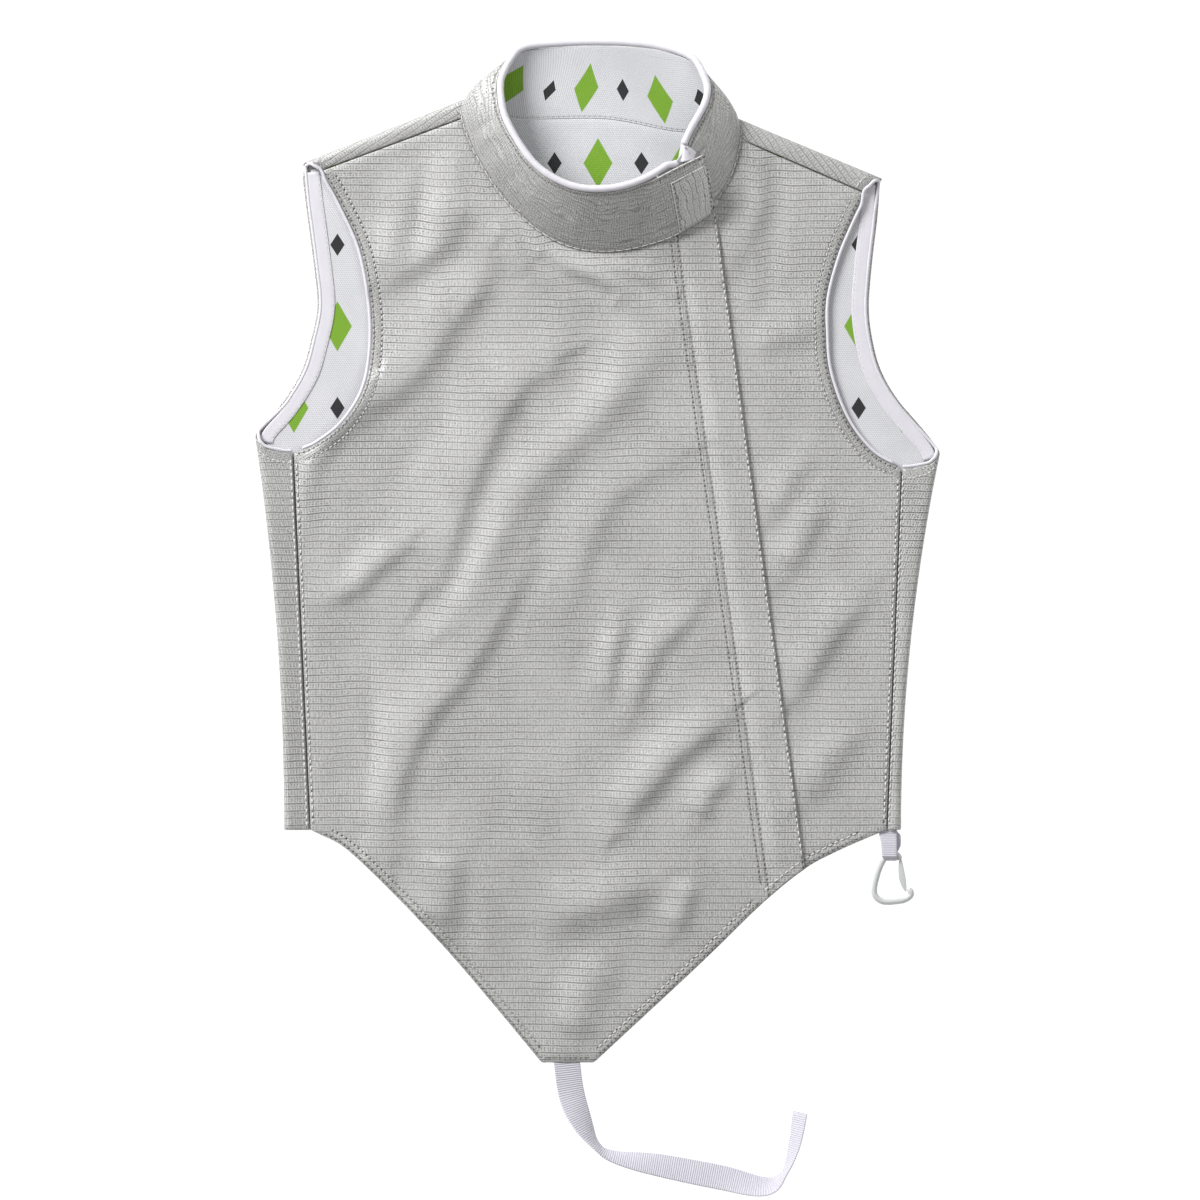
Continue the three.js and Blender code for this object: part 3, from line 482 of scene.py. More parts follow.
# How far apart threads and ribs lie, in metres
pitches = {"dash": 0.0022, "upright": 0.00165, "rib": 0.0017, "cross": 0.0015, "satin": 0.0008}
pitches |= {"cord": 0.0007, "ply": 0.0005}
# The second colour is painted shade, for the needle holes and the grooves beside stitches
darkThread, needleHoleShade = (0.05, 0.048, 0.044, 1), (0.05, 0.049, 0.046, 1)
stitch = {"pitch": 4.0, "length": 0.7, "radius": 0.24, "sides": 5}


def silverWeave(tree, given):
    # Woven silver cloth: dark threads across, rows of dashes between them, flecks of metal, fine upright threads
    vector, width = given["Vector"], given["Line width"]
    u, v = vector.split()
    scales = put(tree, "CombineXYZ", {0: given["Warp across"], 1: given["Warp along"], 2: 1.0})
    scaled = put(tree, "VectorMath", {0: vector, 1: scales}, operation="MULTIPLY")
    wander = put(tree, "TexNoise", {"Vector": scaled, "Scale": 1.0, "Detail": 3.0, "Roughness": 0.55})
    inRow = (((wander - 0.5) * given["Warp"] + v) / given["Line pitch"]).calc("FRACT")
    fromLine = inRow.fromMiddle() * -1.0 + 0.5
    line = fromLine.ramp(0.0, width, 1.0, 0.0)
    broken = vector.noise((110, 700, 1))
    patch = vector.noise((16, 22, 1), shift=(3, 5, 0))
    lineShare = line * broken.ramp(0.25, 0.6, 0.55, 1.0) * patch.ramp(0.3, 0.7, 0.65, 1.1) * given["Line dark"]
    # A painted highlight beside each dark line, as if the line were a lit ridge
    paintedHighlight = (width * -1.7 + inRow).calc("ABSOLUTE").ramp(0.0, width * 0.9, 1.0, 0.0) * broken * given["Line light"]
    # Two rows of short dashes between the lines, each dark on one side and lit on the other
    across = (vector.noise((300, 190, 1), 1.0, (6, 6, 0)) * 0.003 + u).wave(pitches["dash"])
    row = (fromLine - 0.34).calc("ABSOLUTE").ramp(0.0, 0.11, 1.0, 0.0)
    dashes = row * across.ramp(-0.1, 0.8) * patch.ramp(0.35, 0.65, 0.6, 1.05)
    lit = row * across.ramp(-0.8, -0.1, 0.3, 0.0)
    # Upright threads, stronger in some places
    slow = vector.noise((9, 12, 1), 1.0, (8, 1, 0))
    threads = u.wave(pitches["upright"]) * 0.5 * slow.ramp(0.42, 0.68, 0.15, 1.0)
    fleck = vector.noise((620, 780, 1), 3.0, (1, 7, 0), 0.75)
    bright = fleck.ramp(0.56, 0.72)
    cloud = vector.noise((30, 24, 1), 3.0, (2, 2, 0))
    shade = lineShare + dashes + fleck.ramp(0.3, 0.5, 0.5, 0.0) - lit + threads * 0.24
    shade = shade + cloud.ramp(0.3, 0.7, 0.05, -0.03) + given["Tone"] - bright * 0.44 - paintedHighlight * 1.6
    shade = put(tree, "Clamp", {"Value": shade, "Min": -0.3, "Max": 1.0}) * 0.76 + 0.22
    return {
        "Color": shade.blend((0.70, 0.698, 0.685, 1), darkThread),
        "Roughness": bright * -0.16 + 0.6,
        "Height": line * -0.6 + threads * 0.25 + fleck * 0.9,
    }


def stitchedShade(tree, given):
    # Beside a line of stitches the cloth is drawn in, and painted shade darkens that groove and each needle hole
    along, off = given["Vector"].split()
    pitch = stitch["pitch"] * mm
    toHole = ((along / pitch).fromMiddle() * -1.0 + 0.5) * pitch
    hole = (toHole**2.0 + off**2.0).calc("SQRT").ramp(0.00045, 0.00105, 1.0, 0.0)
    groove = off.ramp(0.0, 0.0013, 1.0, 0.0)
    share = (hole * 0.9).calc("MAXIMUM", groove * 0.26)
    return {"Color": share.blend(given["Color"], needleHoleShade), "Height": groove * -0.8 + given["Height"] - hole}


weaveLines = {"Line pitch": 0.0054, "Line width": 0.14, "Line dark": 0.74, "Line light": 0.14}
weaveWarp = {"Warp": 0.0012, "Warp across": 9.0, "Warp along": 14.0, "Tone": 0.0}
silverCloth = shaderGroup("silverCloth", {"Vector": None, **weaveLines, **weaveWarp}, silverWeave)
seamShade = shaderGroup("seamShade", {"Vector": None, "Color": None, "Height": 0.0}, stitchedShade)


def onCloth(tree, turn=0.0):
    place = put(tree, "UVMap", uv_map="cloth")
    return put(tree, "Mapping", {"Vector": place, "Rotation": (0, 0, turn)}) if turn else place


def nearSeams(tree, colour, height):
    feed = {"Vector": put(tree, "UVMap", uv_map="seam"), "Color": colour, "Height": height}
    made = put(tree, "Group", feed, node_tree=seamShade)
    return made, made.beside("Height")


def bumped(height, strength, distance):
    return put(height.tree, "Bump", {"Strength": strength, "Distance": distance, "Height": height})


def lame(tree, turn=0.0, relief=0.0003, **values):
    weave = put(tree, "Group", {"Vector": onCloth(tree, turn), **values}, node_tree=silverCloth)
    colour, height = nearSeams(tree, weave, weave.beside("Height"))
    return {
        "Base Color": colour,
        "Roughness": weave.beside("Roughness"),
        "Metallic": 0.3,
        "Sheen Weight": 0.1,
        "Normal": bumped(height, 0.7, relief),
    }


lozenges = {
    "columns": 0.066,
    "rows": 0.062,
    "large": {"half": (0.011, 0.019), "shift": 0.0, "ink": (0.19, 0.4, 0.01, 1)},
    "small": {"half": (0.0055, 0.0085), "shift": 0.5, "ink": (0.008, 0.008, 0.009, 1)},
}


def twill(tree, printed=True):
    # White twill, with a plain print of staggered lozenges
    place = onCloth(tree)
    u, v = place.split()
    slant = place.noise((60, 60, 1)) * 0.0006 + (v * 0.62 + u)
    ribs = v.wave(pitches["cross"]) * 0.35 + slant.wave(pitches["rib"])
    cloud = place.noise((26, 26, 1), 3.0, (4, 4, 0))
    share = ribs.ramp(-1.2, 1.2, 0.34, 0.0) + cloud.ramp(0.3, 0.7, 0.1, 0.0)
    colour = share.blend((0.78, 0.78, 0.8, 1), (0.34, 0.35, 0.4, 1))
    for size in ("large", "small") if printed else ():
        wide, tall = lozenges[size]["half"]
        row = v * (1 / lozenges["rows"])
        odd = row.calc("FLOOR").calc("FLOORED_MODULO", 2.0)
        column = odd * 0.5 + (u * (1 / lozenges["columns"]) + lozenges[size]["shift"])
        x = column.fromMiddle() * (lozenges["columns"] / wide)
        inked = (x + row.fromMiddle() * (lozenges["rows"] / tall)).ramp(0.97, 1.03, 0.95, 0.0)
        colour = inked.blend(colour, lozenges[size]["ink"])
    sewn, height = nearSeams(tree, colour, ribs * 0.5)
    return {
        "Base Color": mixed(tree, 0.72, sewn, colour),  # the seams' painted shade is weaker on the lining
        "Roughness": cloud.ramp(0.2, 0.8, 0.82, 0.92),
        "Specular IOR Level": 0.15,
        "Normal": bumped(height, 0.7, 0.00035),
    }


def satin(tree):
    # Bias binding with very fine slanting ribs
    place = onCloth(tree)
    u, v = place.split()
    ribs = (u + v).wave(pitches["satin"])
    cloud = place.noise((60, 160, 1), 3.0)
    share = ribs.ramp(-1, 1, 0.05, 0.0) + cloud.ramp(0.3, 0.7, 0.06, 0.0)
    return {
        "Base Color": share.blend((0.76, 0.745, 0.79, 1), (0.4, 0.39, 0.46, 1)),
        "Roughness": cloud.ramp(0.3, 0.7, 0.42, 0.56),
        "Sheen Weight": 0.2,
        "Normal": bumped(cloud * 2.0 + ribs, 0.35, 0.0001),
    }


def grosgrain(tree, pitch):
    # Webbing: raised ribs straight across, each of short threads
    place = onCloth(tree)
    across, along = place.split()
    ribs = (place.noise((90, 220, 1)) * (pitch * 0.5) + along).wave(pitch)
    threads = across.wave(pitches["cord"])
    cloud = place.noise((40, 40, 1))
    share = ribs.ramp(-1.0, 0.5, 0.3, 0.0) + threads.ramp(-1.0, 1.0, 0.05, 0.0) + cloud.ramp(0.3, 0.7, 0.05, 0.0)
    return {
        "Base Color": share.blend((0.665, 0.65, 0.71, 1), (0.33, 0.315, 0.4, 1)),
        "Roughness": ribs.ramp(-1.0, 1.0, 0.75, 0.55),
        "Normal": bumped(threads * 0.15 + ribs, 0.8, 0.0002),
    }


def twisted(tree, light, shadow):
    # Sewing thread, and the zip's metal
    u, v = onCloth(tree).split()
    ply = (u + v).wave(pitches["ply"])
    return {
        "Base Color": ply.ramp(-1, 1, 0.6, 0.0).blend((*light, 1), (*shadow, 1)),
        "Roughness": ply.ramp(-1, 1, 0.6, 0.45),
        "Normal": bumped(ply, 0.5, 0.00005),
    }


def milky(tree):
    # Moulded plastic
    place = put(tree, "TexCoord", out="Object")
    scuff = place.noise((400, 900, 400))
    return {
        "Base Color": place.noise((45, 45, 45)).blend((0.72, 0.735, 0.73, 1), (0.63, 0.65, 0.645, 1)),
        "Roughness": scuff.ramp(0.3, 0.7, 0.22, 0.36),
        "Subsurface Weight": 0.7,
        "Subsurface Radius": (0.003, 0.003, 0.003),
        "Normal": bumped(scuff, 0.15, 0.00005),
    }


def studioPaper(tree):
    grain = put(tree, "TexCoord", out="Object").noise((300, 300, 300))
    return {
        "Base Color": grain.blend((0.3, 0.3, 0.3, 1), (0.27, 0.27, 0.27, 1)),
        "Roughness": 0.9,
        "Specular IOR Level": 0.1,
        "Emission Color": (1, 1, 1, 1),
        "Emission Strength": 0.9,
    }


def makeMaterial(name, build, **values):
    material = bpy.data.materials.new(name)
    material.use_nodes = True
    shader = material.node_tree.nodes["Principled BSDF"]
    for label, value in build(material.node_tree, **values).items():
        plug(value, shader.inputs[label])
    return material


# The rolled sides' tone of 0.1 is painted shade: it makes them darker, as where they turn from the light
sideCloth = {"Warp": 0.0026, "Warp across": 40.0, "Tone": 0.1, "Line dark": 0.7}
facingCloth = {"Line dark": 0.2, "Warp": 0.004, "Tone": 0.18}
shoulderCloth = {"Line pitch": 0.0043, "Warp": 0.006, "Warp across": 22.0, "Line dark": 0.7}
collarLines = {"Line pitch": 0.0031, "Line width": 0.22, "Line dark": 0.42, "Line light": 0.3, "Tone": 0.05}
collarCloth = {**collarLines, "Warp": 0.028, "Warp across": 15.0, "Warp along": 46.0}
# The tab's tone of -0.24 is painted light: it makes the tab lighter than the collar's cloth, for the light on its
# leaning face
tabLines = {"Line pitch": 0.0052, "Line width": 0.13, "Line dark": 0.9, "Line light": 0.4, "Tone": -0.24}
tabCloth = {**tabLines, "Warp": 0.014, "Warp across": 42.0, "Warp along": 50.0}
finishes = {
    "front": makeMaterial("lameFront", lame),
    "side": makeMaterial("lameSide", lame, **sideCloth),
    "facing": makeMaterial("lameFacing", lame, turn=1.0, **facingCloth),
    "shoulder": makeMaterial("lameShoulder", lame, turn=-0.16, **shoulderCloth),
    "collar": makeMaterial("lameCollar", lame, relief=0.00042, **collarCloth),
    "tab": makeMaterial("lameTab", lame, turn=math.pi / 2 + 0.1, **tabCloth),
    "lining": makeMaterial("liningTwill", twill),
    "plainLining": makeMaterial("plainTwill", twill, printed=False),
    "binding": makeMaterial("satinBinding", satin),
    "webbing": makeMaterial("grosgrain", grosgrain, pitch=0.00165),
    "loopWebbing": makeMaterial("fineGrosgrain", grosgrain, pitch=0.0014),
    "thread": makeMaterial("silverThread", twisted, light=(0.62, 0.61, 0.59), shadow=(0.16, 0.155, 0.15)),
    "paleThread": makeMaterial("paleThread", twisted, light=(0.88, 0.87, 0.85), shadow=(0.55, 0.54, 0.52)),
    "whiteThread": makeMaterial("whiteThread", twisted, light=(0.86, 0.86, 0.86), shadow=(0.5, 0.5, 0.5)),
    "plastic": makeMaterial("milkyPlastic", milky),
    "tooth": makeMaterial("zipMetal", twisted, light=(0.35, 0.34, 0.33), shadow=(0.12, 0.12, 0.12)),
}
print("materials made")


# Meshes


def makeMesh(name, points, faces, cloth, seam=None, finish=("front",), slots=None):
    mesh = bpy.data.meshes.new(name)
    mesh.from_pydata((np.asarray(points) * mm).tolist(), [], faces)
    corners = np.zeros(len(mesh.loops), int)
    mesh.loops.foreach_get("vertex_index", corners)
    for label, values in (("cloth", cloth), ("seam", seam)):
        if values is not None:
            layer = mesh.uv_layers.new(name=label)
            layer.uv.foreach_set("vector", (np.asarray(values)[corners] * mm).astype(np.float32).ravel())
    for label in finish:
        mesh.materials.append(finishes[label])
    if slots is not None:
        mesh.polygons.foreach_set("material_index", slots)
    mesh.polygons.foreach_set("use_smooth", [True] * len(mesh.polygons))
    mesh.update()
    piece = bpy.data.objects.new(name, mesh)
    bpy.context.collection.objects.link(piece)
    return piece


def selectOnly(*pieces):
    bpy.ops.object.select_all(action="DESELECT")
    for piece in pieces:
        piece.select_set(True)
    if pieces:
        bpy.context.view_layer.objects.active = pieces[0]


def finishPiece(piece, slot, *nodes, body="garment"):
    selectOnly(piece)
    bpy.ops.object.mode_set(mode="EDIT")
    bpy.ops.mesh.select_all(action="SELECT")
    bpy.ops.mesh.normals_make_consistent(inside=False)
    bpy.ops.object.mode_set(mode="OBJECT")
    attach(piece, body)
    if nodes:
        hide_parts(*nodes)
    return piece


offSeam = 50.0  # in the seam map, where no stitches are near
filling = {"near": 0.9, "stitched": 2.4, "beside": 1.5, "clear": 0.6, "share": 0.7}


def meshPlan(outline, spacing, lines, rows):
    # Fills an outline with triangles. Stitched lines get three rows of points, and other rows one.
    count = len(outline)
    points, edges = [outline], [(i, (i + 1) % count) for i in range(count)]
    extra = [offsetLine(outline, side * filling["near"]) for side in (1, -1)]
    fine = [evenly(line, filling["stitched"]) for line in lines]
    extra += [offsetLine(line, side * filling["beside"]) for line in fine for side in (1, -1)]
    for line in fine:
        edges += [(count + i, count + i + 1) for i in range(len(line) - 1)]
        points.append(line)
        count += len(line)
    extra = np.concatenate([*extra, *rows])
    (left, low), (right, high) = outline.min(0), outline.max(0)
    xs, ys = np.arange(left, right, spacing), np.arange(low, high, spacing * 0.866)
    grid = np.array([(x + (i % 2) * spacing / 2, y) for i, y in enumerate(ys) for x in xs])
    closed = [np.vstack([outline, outline[:1]]), *lines]
    clear = nearestOnLines(grid, [*closed, *rows])[1] > spacing * filling["share"]
    grid = grid[clear & insideOutline(grid, outline)]
    extra = extra[insideOutline(extra, outline)]
    extra = extra[nearestOnLines(extra, closed)[1] > filling["clear"]]
    flat = [Vector(p) for p in np.concatenate([*points, extra, grid])]
    found, _, faces, *_ = geometry.delaunay_2d_cdt(flat, edges, [], 1, 1e-4)
    return np.array([tuple(p) for p in found]), [list(face) for face in faces]


def layCloth(name, outline, lay, thick, finish, spacing=3.5, lines=(), rows=(), cloth=None, flush=(), slots=None):
    # A closed thin shell. lay(points, height) puts the plan in place, at a height over its underside.
    flat, faces = meshPlan(outline, spacing, lines, rows)
    count = len(flat)
    along, off = nearestOnLines(flat, lines) if len(lines) else (np.zeros(count), np.full(count, offSeam))
    edge = nearestOnLines(flat, [np.vstack([outline, outline[:1]])])[1]
    groove, rounded = 0.32 * bell(off, 0.9), 0.42 * thick * bell(edge, 0.8)
    if len(flush):
        rounded *= smoothstep(nearestOnLines(flat, flush)[1], 0.3, 1.5)
    seen = dict.fromkeys((a, b) for face in faces for a, b in zip(face, face[1:] + face[:1]))
    rim = [(a, b) for a, b in seen if (b, a) not in seen]
    walls = [[b, a, a + count, b + count] for a, b in rim]
    index = None
    if slots:
        upper, lower = slots(np.array([flat[face].mean(0) for face in faces]))
        index = np.concatenate([upper, lower, np.zeros(len(rim), int)]).astype(int).tolist()
    places = cloth(flat) if cloth else flat
    seam = np.stack([along, np.minimum(off, offSeam)], 1)
    return makeMesh(
        name,
        np.vstack([lay(flat, thick - groove - rounded), lay(flat, rounded)]),
        faces + [[v + count for v in reversed(face)] for face in faces] + walls,
        np.vstack([places, places]),
        np.vstack([seam, np.stack([along, np.full(count, offSeam)], 1)]),
        finish,
        index,
    )


def gridShell(name, outer, inner, finish, cloth, seam=None):  # a closed wall between two grids of points
    rows, columns = outer.shape[:2]
    size = rows * columns
    cells = np.arange(size).reshape(rows, columns).tolist()
    faces = []
    for low, high in zip(cells, cells[1:]):
        for a, b, c, d in zip(low, low[1:], high[1:], high):
            faces += [[a, b, c, d], [a + size, d + size, c + size, b + size]]
    rim = [pair for a, b in zip(cells, cells[1:]) for pair in ((a[0], b[0]), (b[-1], a[-1]))]
    for a, b, c, d in zip(cells[0], cells[0][1:], cells[-1], cells[-1][1:]):
        rim += [(b, a), (c, d)]
    faces += [[a, b, b + size, a + size] for a, b in rim]
    if seam is None:
        seam = np.full((rows, columns, 2), offSeam)
    flat = [grid.reshape(-1, grid.shape[-1]) for grid in (outer, inner, cloth, seam)]
    return makeMesh(name, np.vstack(flat[:2]), faces, np.vstack([flat[2]] * 2), np.vstack([flat[3]] * 2), finish)


def ringWalls(first, rings, count):  # faces between rings of points, from the first point on
    faces = []
    for low in range(first, first + (rings - 1) * count, count):
        for j in range(count):
            k = (j + 1) % count
            faces.append([low + j, low + k, low + count + k, low + count + j])
    return faces


def turned(sides, ups, angles):  # ways round a line
    return sides[:, None] * np.cos(angles)[:, None] + ups[:, None] * np.sin(angles)[:, None]


def tubeAlong(name, points, radius, count, finish):  # radius is a number or one for each point
    ways = waysAlong(points)
    side, sides = np.cross(ways[0], [0, 0, 1]), []
    for way in ways:  # turning as little as they can
        side = unit(side - way * (side @ way))
        sides.append(side)
    angles = np.linspace(0, 2 * math.pi, count, endpoint=False)
    radius = np.broadcast_to(radius, len(points))
    body = points[:, None] + turned(np.array(sides), np.cross(ways, sides), angles) * radius[:, None, None]
    ends = [points[0] - ways[0] * radius[0] * 0.4, points[-1] + ways[-1] * radius[-1] * 0.4]
    along = lengthsAlong(points)
    around = np.minimum(np.arange(count), count - np.arange(count)) * 2 * math.pi / count
    cloth = np.dstack([around * radius[:, None], np.broadcast_to(along[:, None], (len(points), count))])
    faces = ringWalls(0, len(points), count)
    last = len(points) * count
    tail = last - count
    for j in range(count):
        k = (j + 1) % count
        faces += [[k, j, last], [tail + j, tail + k, last + 1]]
    cloth = np.vstack([cloth.reshape(-1, 2), [0, 0], [0, along[-1]]])
    return makeMesh(name, np.vstack([body.reshape(-1, 3), ends]), faces, cloth, None, finish)


# The rings of one stitch: where along it, how wide, and how high over the cloth
stitchRings = readRows("-0.5 0.35 -0.55  -0.34 0.95 0.05  0 1 0.3  0.34 0.95 0.05  0.5 0.35 -0.55", 3)


def sewLines(name, runs, finish="thread", pitch=stitch["pitch"], radius=stitch["radius"], length=stitch["length"]):
    # Each run is a line of points on the cloth and the ways that face off it. Each stitch is a small bent thread.
    where, wide, high = stitchRings.T
    rings, sides = len(stitchRings), stitch["sides"]
    angles = np.linspace(0, 2 * math.pi, sides, endpoint=False)
    points, cloth, faces = [], [], []
    for line, facing in runs:
        lengths = lengthsAlong(line)
        for middle in np.arange(pitch / 2, lengths[-1] - pitch / 3, pitch):
            at = middle + where * (pitch * length)
            centre, up = pointsAt(line, lengths, at), unit(pointsAt(facing, lengths, at))
            around = turned(np.cross(waysAlong(centre), up), up, angles) * (radius * wide)[:, None, None]
            base = len(points)
            points.extend(((centre + up * (radius * high)[:, None])[:, None] + around).reshape(-1, 3))
            cloth.extend(np.dstack(np.meshgrid(angles * radius, at)).reshape(-1, 2))
            faces += ringWalls(base, rings, sides)
            ends = range(base, base + sides), range(base + (rings - 1) * sides, base + rings * sides)
            faces += [[*reversed(ends[0])], [*ends[1]]]
    piece = makeMesh(name, points, faces, cloth, None, (finish,))
    return finishPiece(piece, "binding" if finish == "whiteThread" else "lame")


def slopeOf(height, line):  # the way that a height field faces along a line
    step = 0.5
    x, y = line.T
    dx = (height(x + step, y) - height(x - step, y)) / (2 * step)
    dy = (height(x, y + step) - height(x, y - step)) / (2 * step)
    return unit(np.stack([-dx, -dy, np.ones_like(x)], 1))


def facingUp(line):
    return line, np.tile([0.0, 0.0, 1.0], (len(line), 1))


# The front
hem = {"stitch": 6.4, "edge": 1.7, "facing": 7.6, "armholeEdge": 1.4, "sewn": 2.1}
armR, neckR = shoulderEnds("right")
armL, neckL = shoulderEnds("left")
topR, hemR = seamEnds("right")
topL, hemL = seamEnds("left")
armholeR, armholeL = smoothLine(armholeFront["right"], 2.5), smoothLine(armholeFront["left"], 2.5)
sewnTop = np.array([placketEdges["sewnTop"], neckYAt(placketEdges["sewnTop"])])
sewnHem = np.array([placketEdges["sewnHem"], apronYAt(placketEdges["sewnHem"])])
sewnLine = evenly(np.array([sewnTop, sewnHem]), 3)


def frontLay(flat, lift):
    x, y = flat.T
    return np.stack([x, y, frontHeight(x, y) + lift], 1)


def frontRun(line):
    return frontLay(line, wall["front"]), slopeOf(frontHeight, line)


def between(line, low, high):  # the part of a line between two widths
    return line[(line[:, 0] > low) & (line[:, 0] < high)]


def outlineOf(*parts):  # every corner stays, and long edges get points between
    closed = np.vstack([*parts, parts[0][:1]])
    made = [closed[:1]]
    for a, b in zip(closed, closed[1:]):
        steps = max(math.ceil(np.hypot(*(b - a)) / 2.6), 1)
        made.append(lerp(a, b, (np.arange(steps)[:, None] + 1) / steps))
    return np.vstack(made)[:-1]


def rightOutline():
    return outlineOf(
        [[hemR[0] + 0.8, hemY]],
        apronRight[:-1],
        [[-44.5, -340.5], [-42.6, -342.3], [-3.5, -342.3], [-1.2, -340.6]],
        between(apronLeft, 0.5, sewnHem[0] - 1),
        [sewnHem, sewnTop],
        between(neckEdge, neckR[0] + 1.5, sewnTop[0] - 1)[::-1],
        [neckR + (0.6, -0.7), armR + (0.6, -0.7)],
        armholeR[1:-1],
        [topR + (0.8, -0.4)],
    )


def leftOutline():
    topX, hemX = sewnTop[0] + placketEdges["tucked"], sewnHem[0] + placketEdges["tucked"]
    return outlineOf(
        [[hemX, apronYAt(hemX)]],
        between(apronLeft, hemX + 2, 1e3),
        [[hemL[0] - 0.8, hemY], topL + (-0.8, -0.4)],
        armholeL[1:-1][::-1],
        [armL + (-0.4, -0.8), neckL + (-0.4, -0.8)],
        between(neckEdge, topX + 1, neckL[0] - 2)[::-1],
        [[topX, neckYAt(topX)]],
    )


def inset(line, distance, start, end):
    return partOf(offsetLine(line, distance), start, end)


def besideSeam(name, off):
    top, bottom = seamEnds(name)
    return partOf(evenly(np.array([top + (off, -3), bottom + (off, 2)]), 3), 5, 2)


# Stitching lines on the front, in plan
hemSide = between(apronLeft, placketEdges["freeHem"] - 10, 1e3)
frontLines = {
    "hemRight": inset(apronRight, hem["stitch"], 6, 6),
    "hemRightEdge": inset(apronRight, hem["edge"], 3, 1),
    "tip": np.array([[-39.5, -339.2], [-7, -339.2]]),
    "hemLeft": inset(between(apronLeft, -1e3, sewnHem[0] - 3), hem["stitch"], 7, 1),
    "hemLeftEdge": inset(between(apronLeft, -1e3, sewnHem[0] - 2), hem["edge"], 2, 1),
    "sewn": inset(sewnLine, -hem["sewn"], 6, 12),
    "armhole": inset(armholeR, hem["facing"], 8, 8),
    "armholeEdge": inset(armholeR, hem["armholeEdge"], 3, 4),
    "side": besideSeam("right", 2.7),
}
sideLines = {
    "hem": inset(hemSide, hem["stitch"], 1, 7),
    "hemEdge": inset(hemSide, hem["edge"], 1, 3),
    "armhole": inset(armholeL, -hem["facing"], 8, 8),
    "armholeEdge": inset(armholeL, -hem["armholeEdge"], 3, 4),
    "side": besideSeam("left", -2.8),
}


def rippled(flat):  # the cloth's lines rise and dip a little with the folds
    x, y = flat.T
    return np.stack([x, y + 0.6 * largeFolds(x, y) + 1.1 * smallFolds(x, y, creases)], 1)


def layFront(name, node, outline, lines, armholeLine, flush=()):
    def slots(centres):  # the armhole's facing on top, and the lined underside
        band = nearestOnLines(centres, [armholeLine])[1] < hem["facing"]
        return band.astype(int), np.where(band, 0, 2)

    finish = ("front", "facing", "lining")
    feed = {"lines": list(lines.values()), "cloth": rippled, "flush": flush, "slots": slots}
    return finishPiece(layCloth(name, outline, frontLay, wall["front"], finish, **feed), "lame", node)


frontMain = layFront("frontMain", "front_main", rightOutline(), frontLines, armholeR, [sewnLine])
frontSide = layFront("frontSide", "front_side", leftOutline(), sideLines, armholeL)
pale = {"finish": "paleThread", "pitch": 5.0, "radius": 0.6}
banded = {"finish": "paleThread", "radius": 0.42}
for name, lines, bold, band in (
    ("front", frontLines, ("side", "hemLeft"), ("armhole", "hemRight")),
    ("side", sideLines, ("side", "hem"), ("armhole",)),
):
    runs = {label: frontRun(evenly(line, 2)) for label, line in lines.items()}
    sewLines(name + "Stitches", [run for label, run in runs.items() if label not in bold + band])
    sewLines(name + "SeamStitches", [runs[label] for label in bold], **pale)
    sewLines(name + "BandStitches", [runs[label] for label in band], **banded)
print("front made")

# The placket: level with the front at its sewn edge, and over the front's left side at its free edge
placket = {"rows": 260, "wide": 31, "long": 530, "rise": 1.1, "innerStitch": 2.8, "freeStitch": 0.95, "out": 0.06}


def placketTop(share, down):  # share across it, and down from the neck
    topX = lerp(sewnTop[0] + placket["out"], placketEdges["freeTop"], share)
    hemX = lerp(sewnHem[0] + placket["out"], placketEdges["freeHem"], share)
    x, y = lerp(topX, hemX, down), lerp(neckYAt(topX), apronYAt(hemX), down)
    over = smoothstep(share * placket["wide"], 0, placketEdges["tucked"] + 5)
    return x, y, frontHeight(x, y) + over * (wall["front"] + placket["rise"])


def placketRun(share, start, end, bow=0.0):
    down = np.linspace(start, end, 300)
    x, y, z = placketTop(np.full_like(down, share) + bow * smoothstep(down, end - 0.05, end), down)
    return facingUp(np.stack([x, y, z + wall["front"] - 0.1], 1))


shares, downs = np.meshgrid(
    np.concatenate([np.linspace(0, 0.16, 8), np.linspace(0.2, 0.9, 15), [0.93, 0.955, 0.97, 0.985, 1.0]]),
    np.linspace(0, 1, placket["rows"]),
)
x, y, z = placketTop(shares, downs)
fromSewn, fromFree = shares * placket["wide"], (1 - shares) * placket["wide"]
off = np.minimum(np.abs(fromSewn - placket["innerStitch"]), np.abs(fromFree - placket["freeStitch"]))
placketPiece = gridShell(
    "placketFacing",
    np.dstack([x, y, z + wall["front"] - 0.4 * bell(fromFree, 0.5) - 0.22 * bell(off, 0.8)]),
    np.dstack([x, y, z + 0.3 * bell(fromFree, 0.5)]),
    ("front",),
    rippled(np.stack([x.ravel(), y.ravel()], 1)).reshape(*x.shape, 2),
    np.dstack([downs * placket["long"], off]),
)
finishPiece(placketPiece, "lame", "placket")
sewLines("placketStitches", [placketRun(placket["innerStitch"] / placket["wide"], 0.015, 0.955, 0.1)])
sewLines("placketEdgeStitches", [placketRun(1 - placket["freeStitch"] / placket["wide"], 0.012, 0.985)], **pale)
run = evenly(inset(between(apronLeft, sewnHem[0] + 1.5, placketEdges["freeHem"] + 1), hem["stitch"], 0, 0), 2)
runTop = frontHeight(*run.T) + 2 * wall["front"] + placket["rise"] * 0.9
sewLines("placketHemStitches", [facingUp(np.column_stack([run, runTop]))], **pale)

# The back, cut flat and rolled forward over its sides and shoulders
backRows = np.linspace(0, rollArc, 8)
backOver = {"above": 8, "armEnd": 8, "neckEnd": 9}  # how far past its corners each roll is taken
backHollow = 0.55  # its creases are shallow, as it lies on the surface
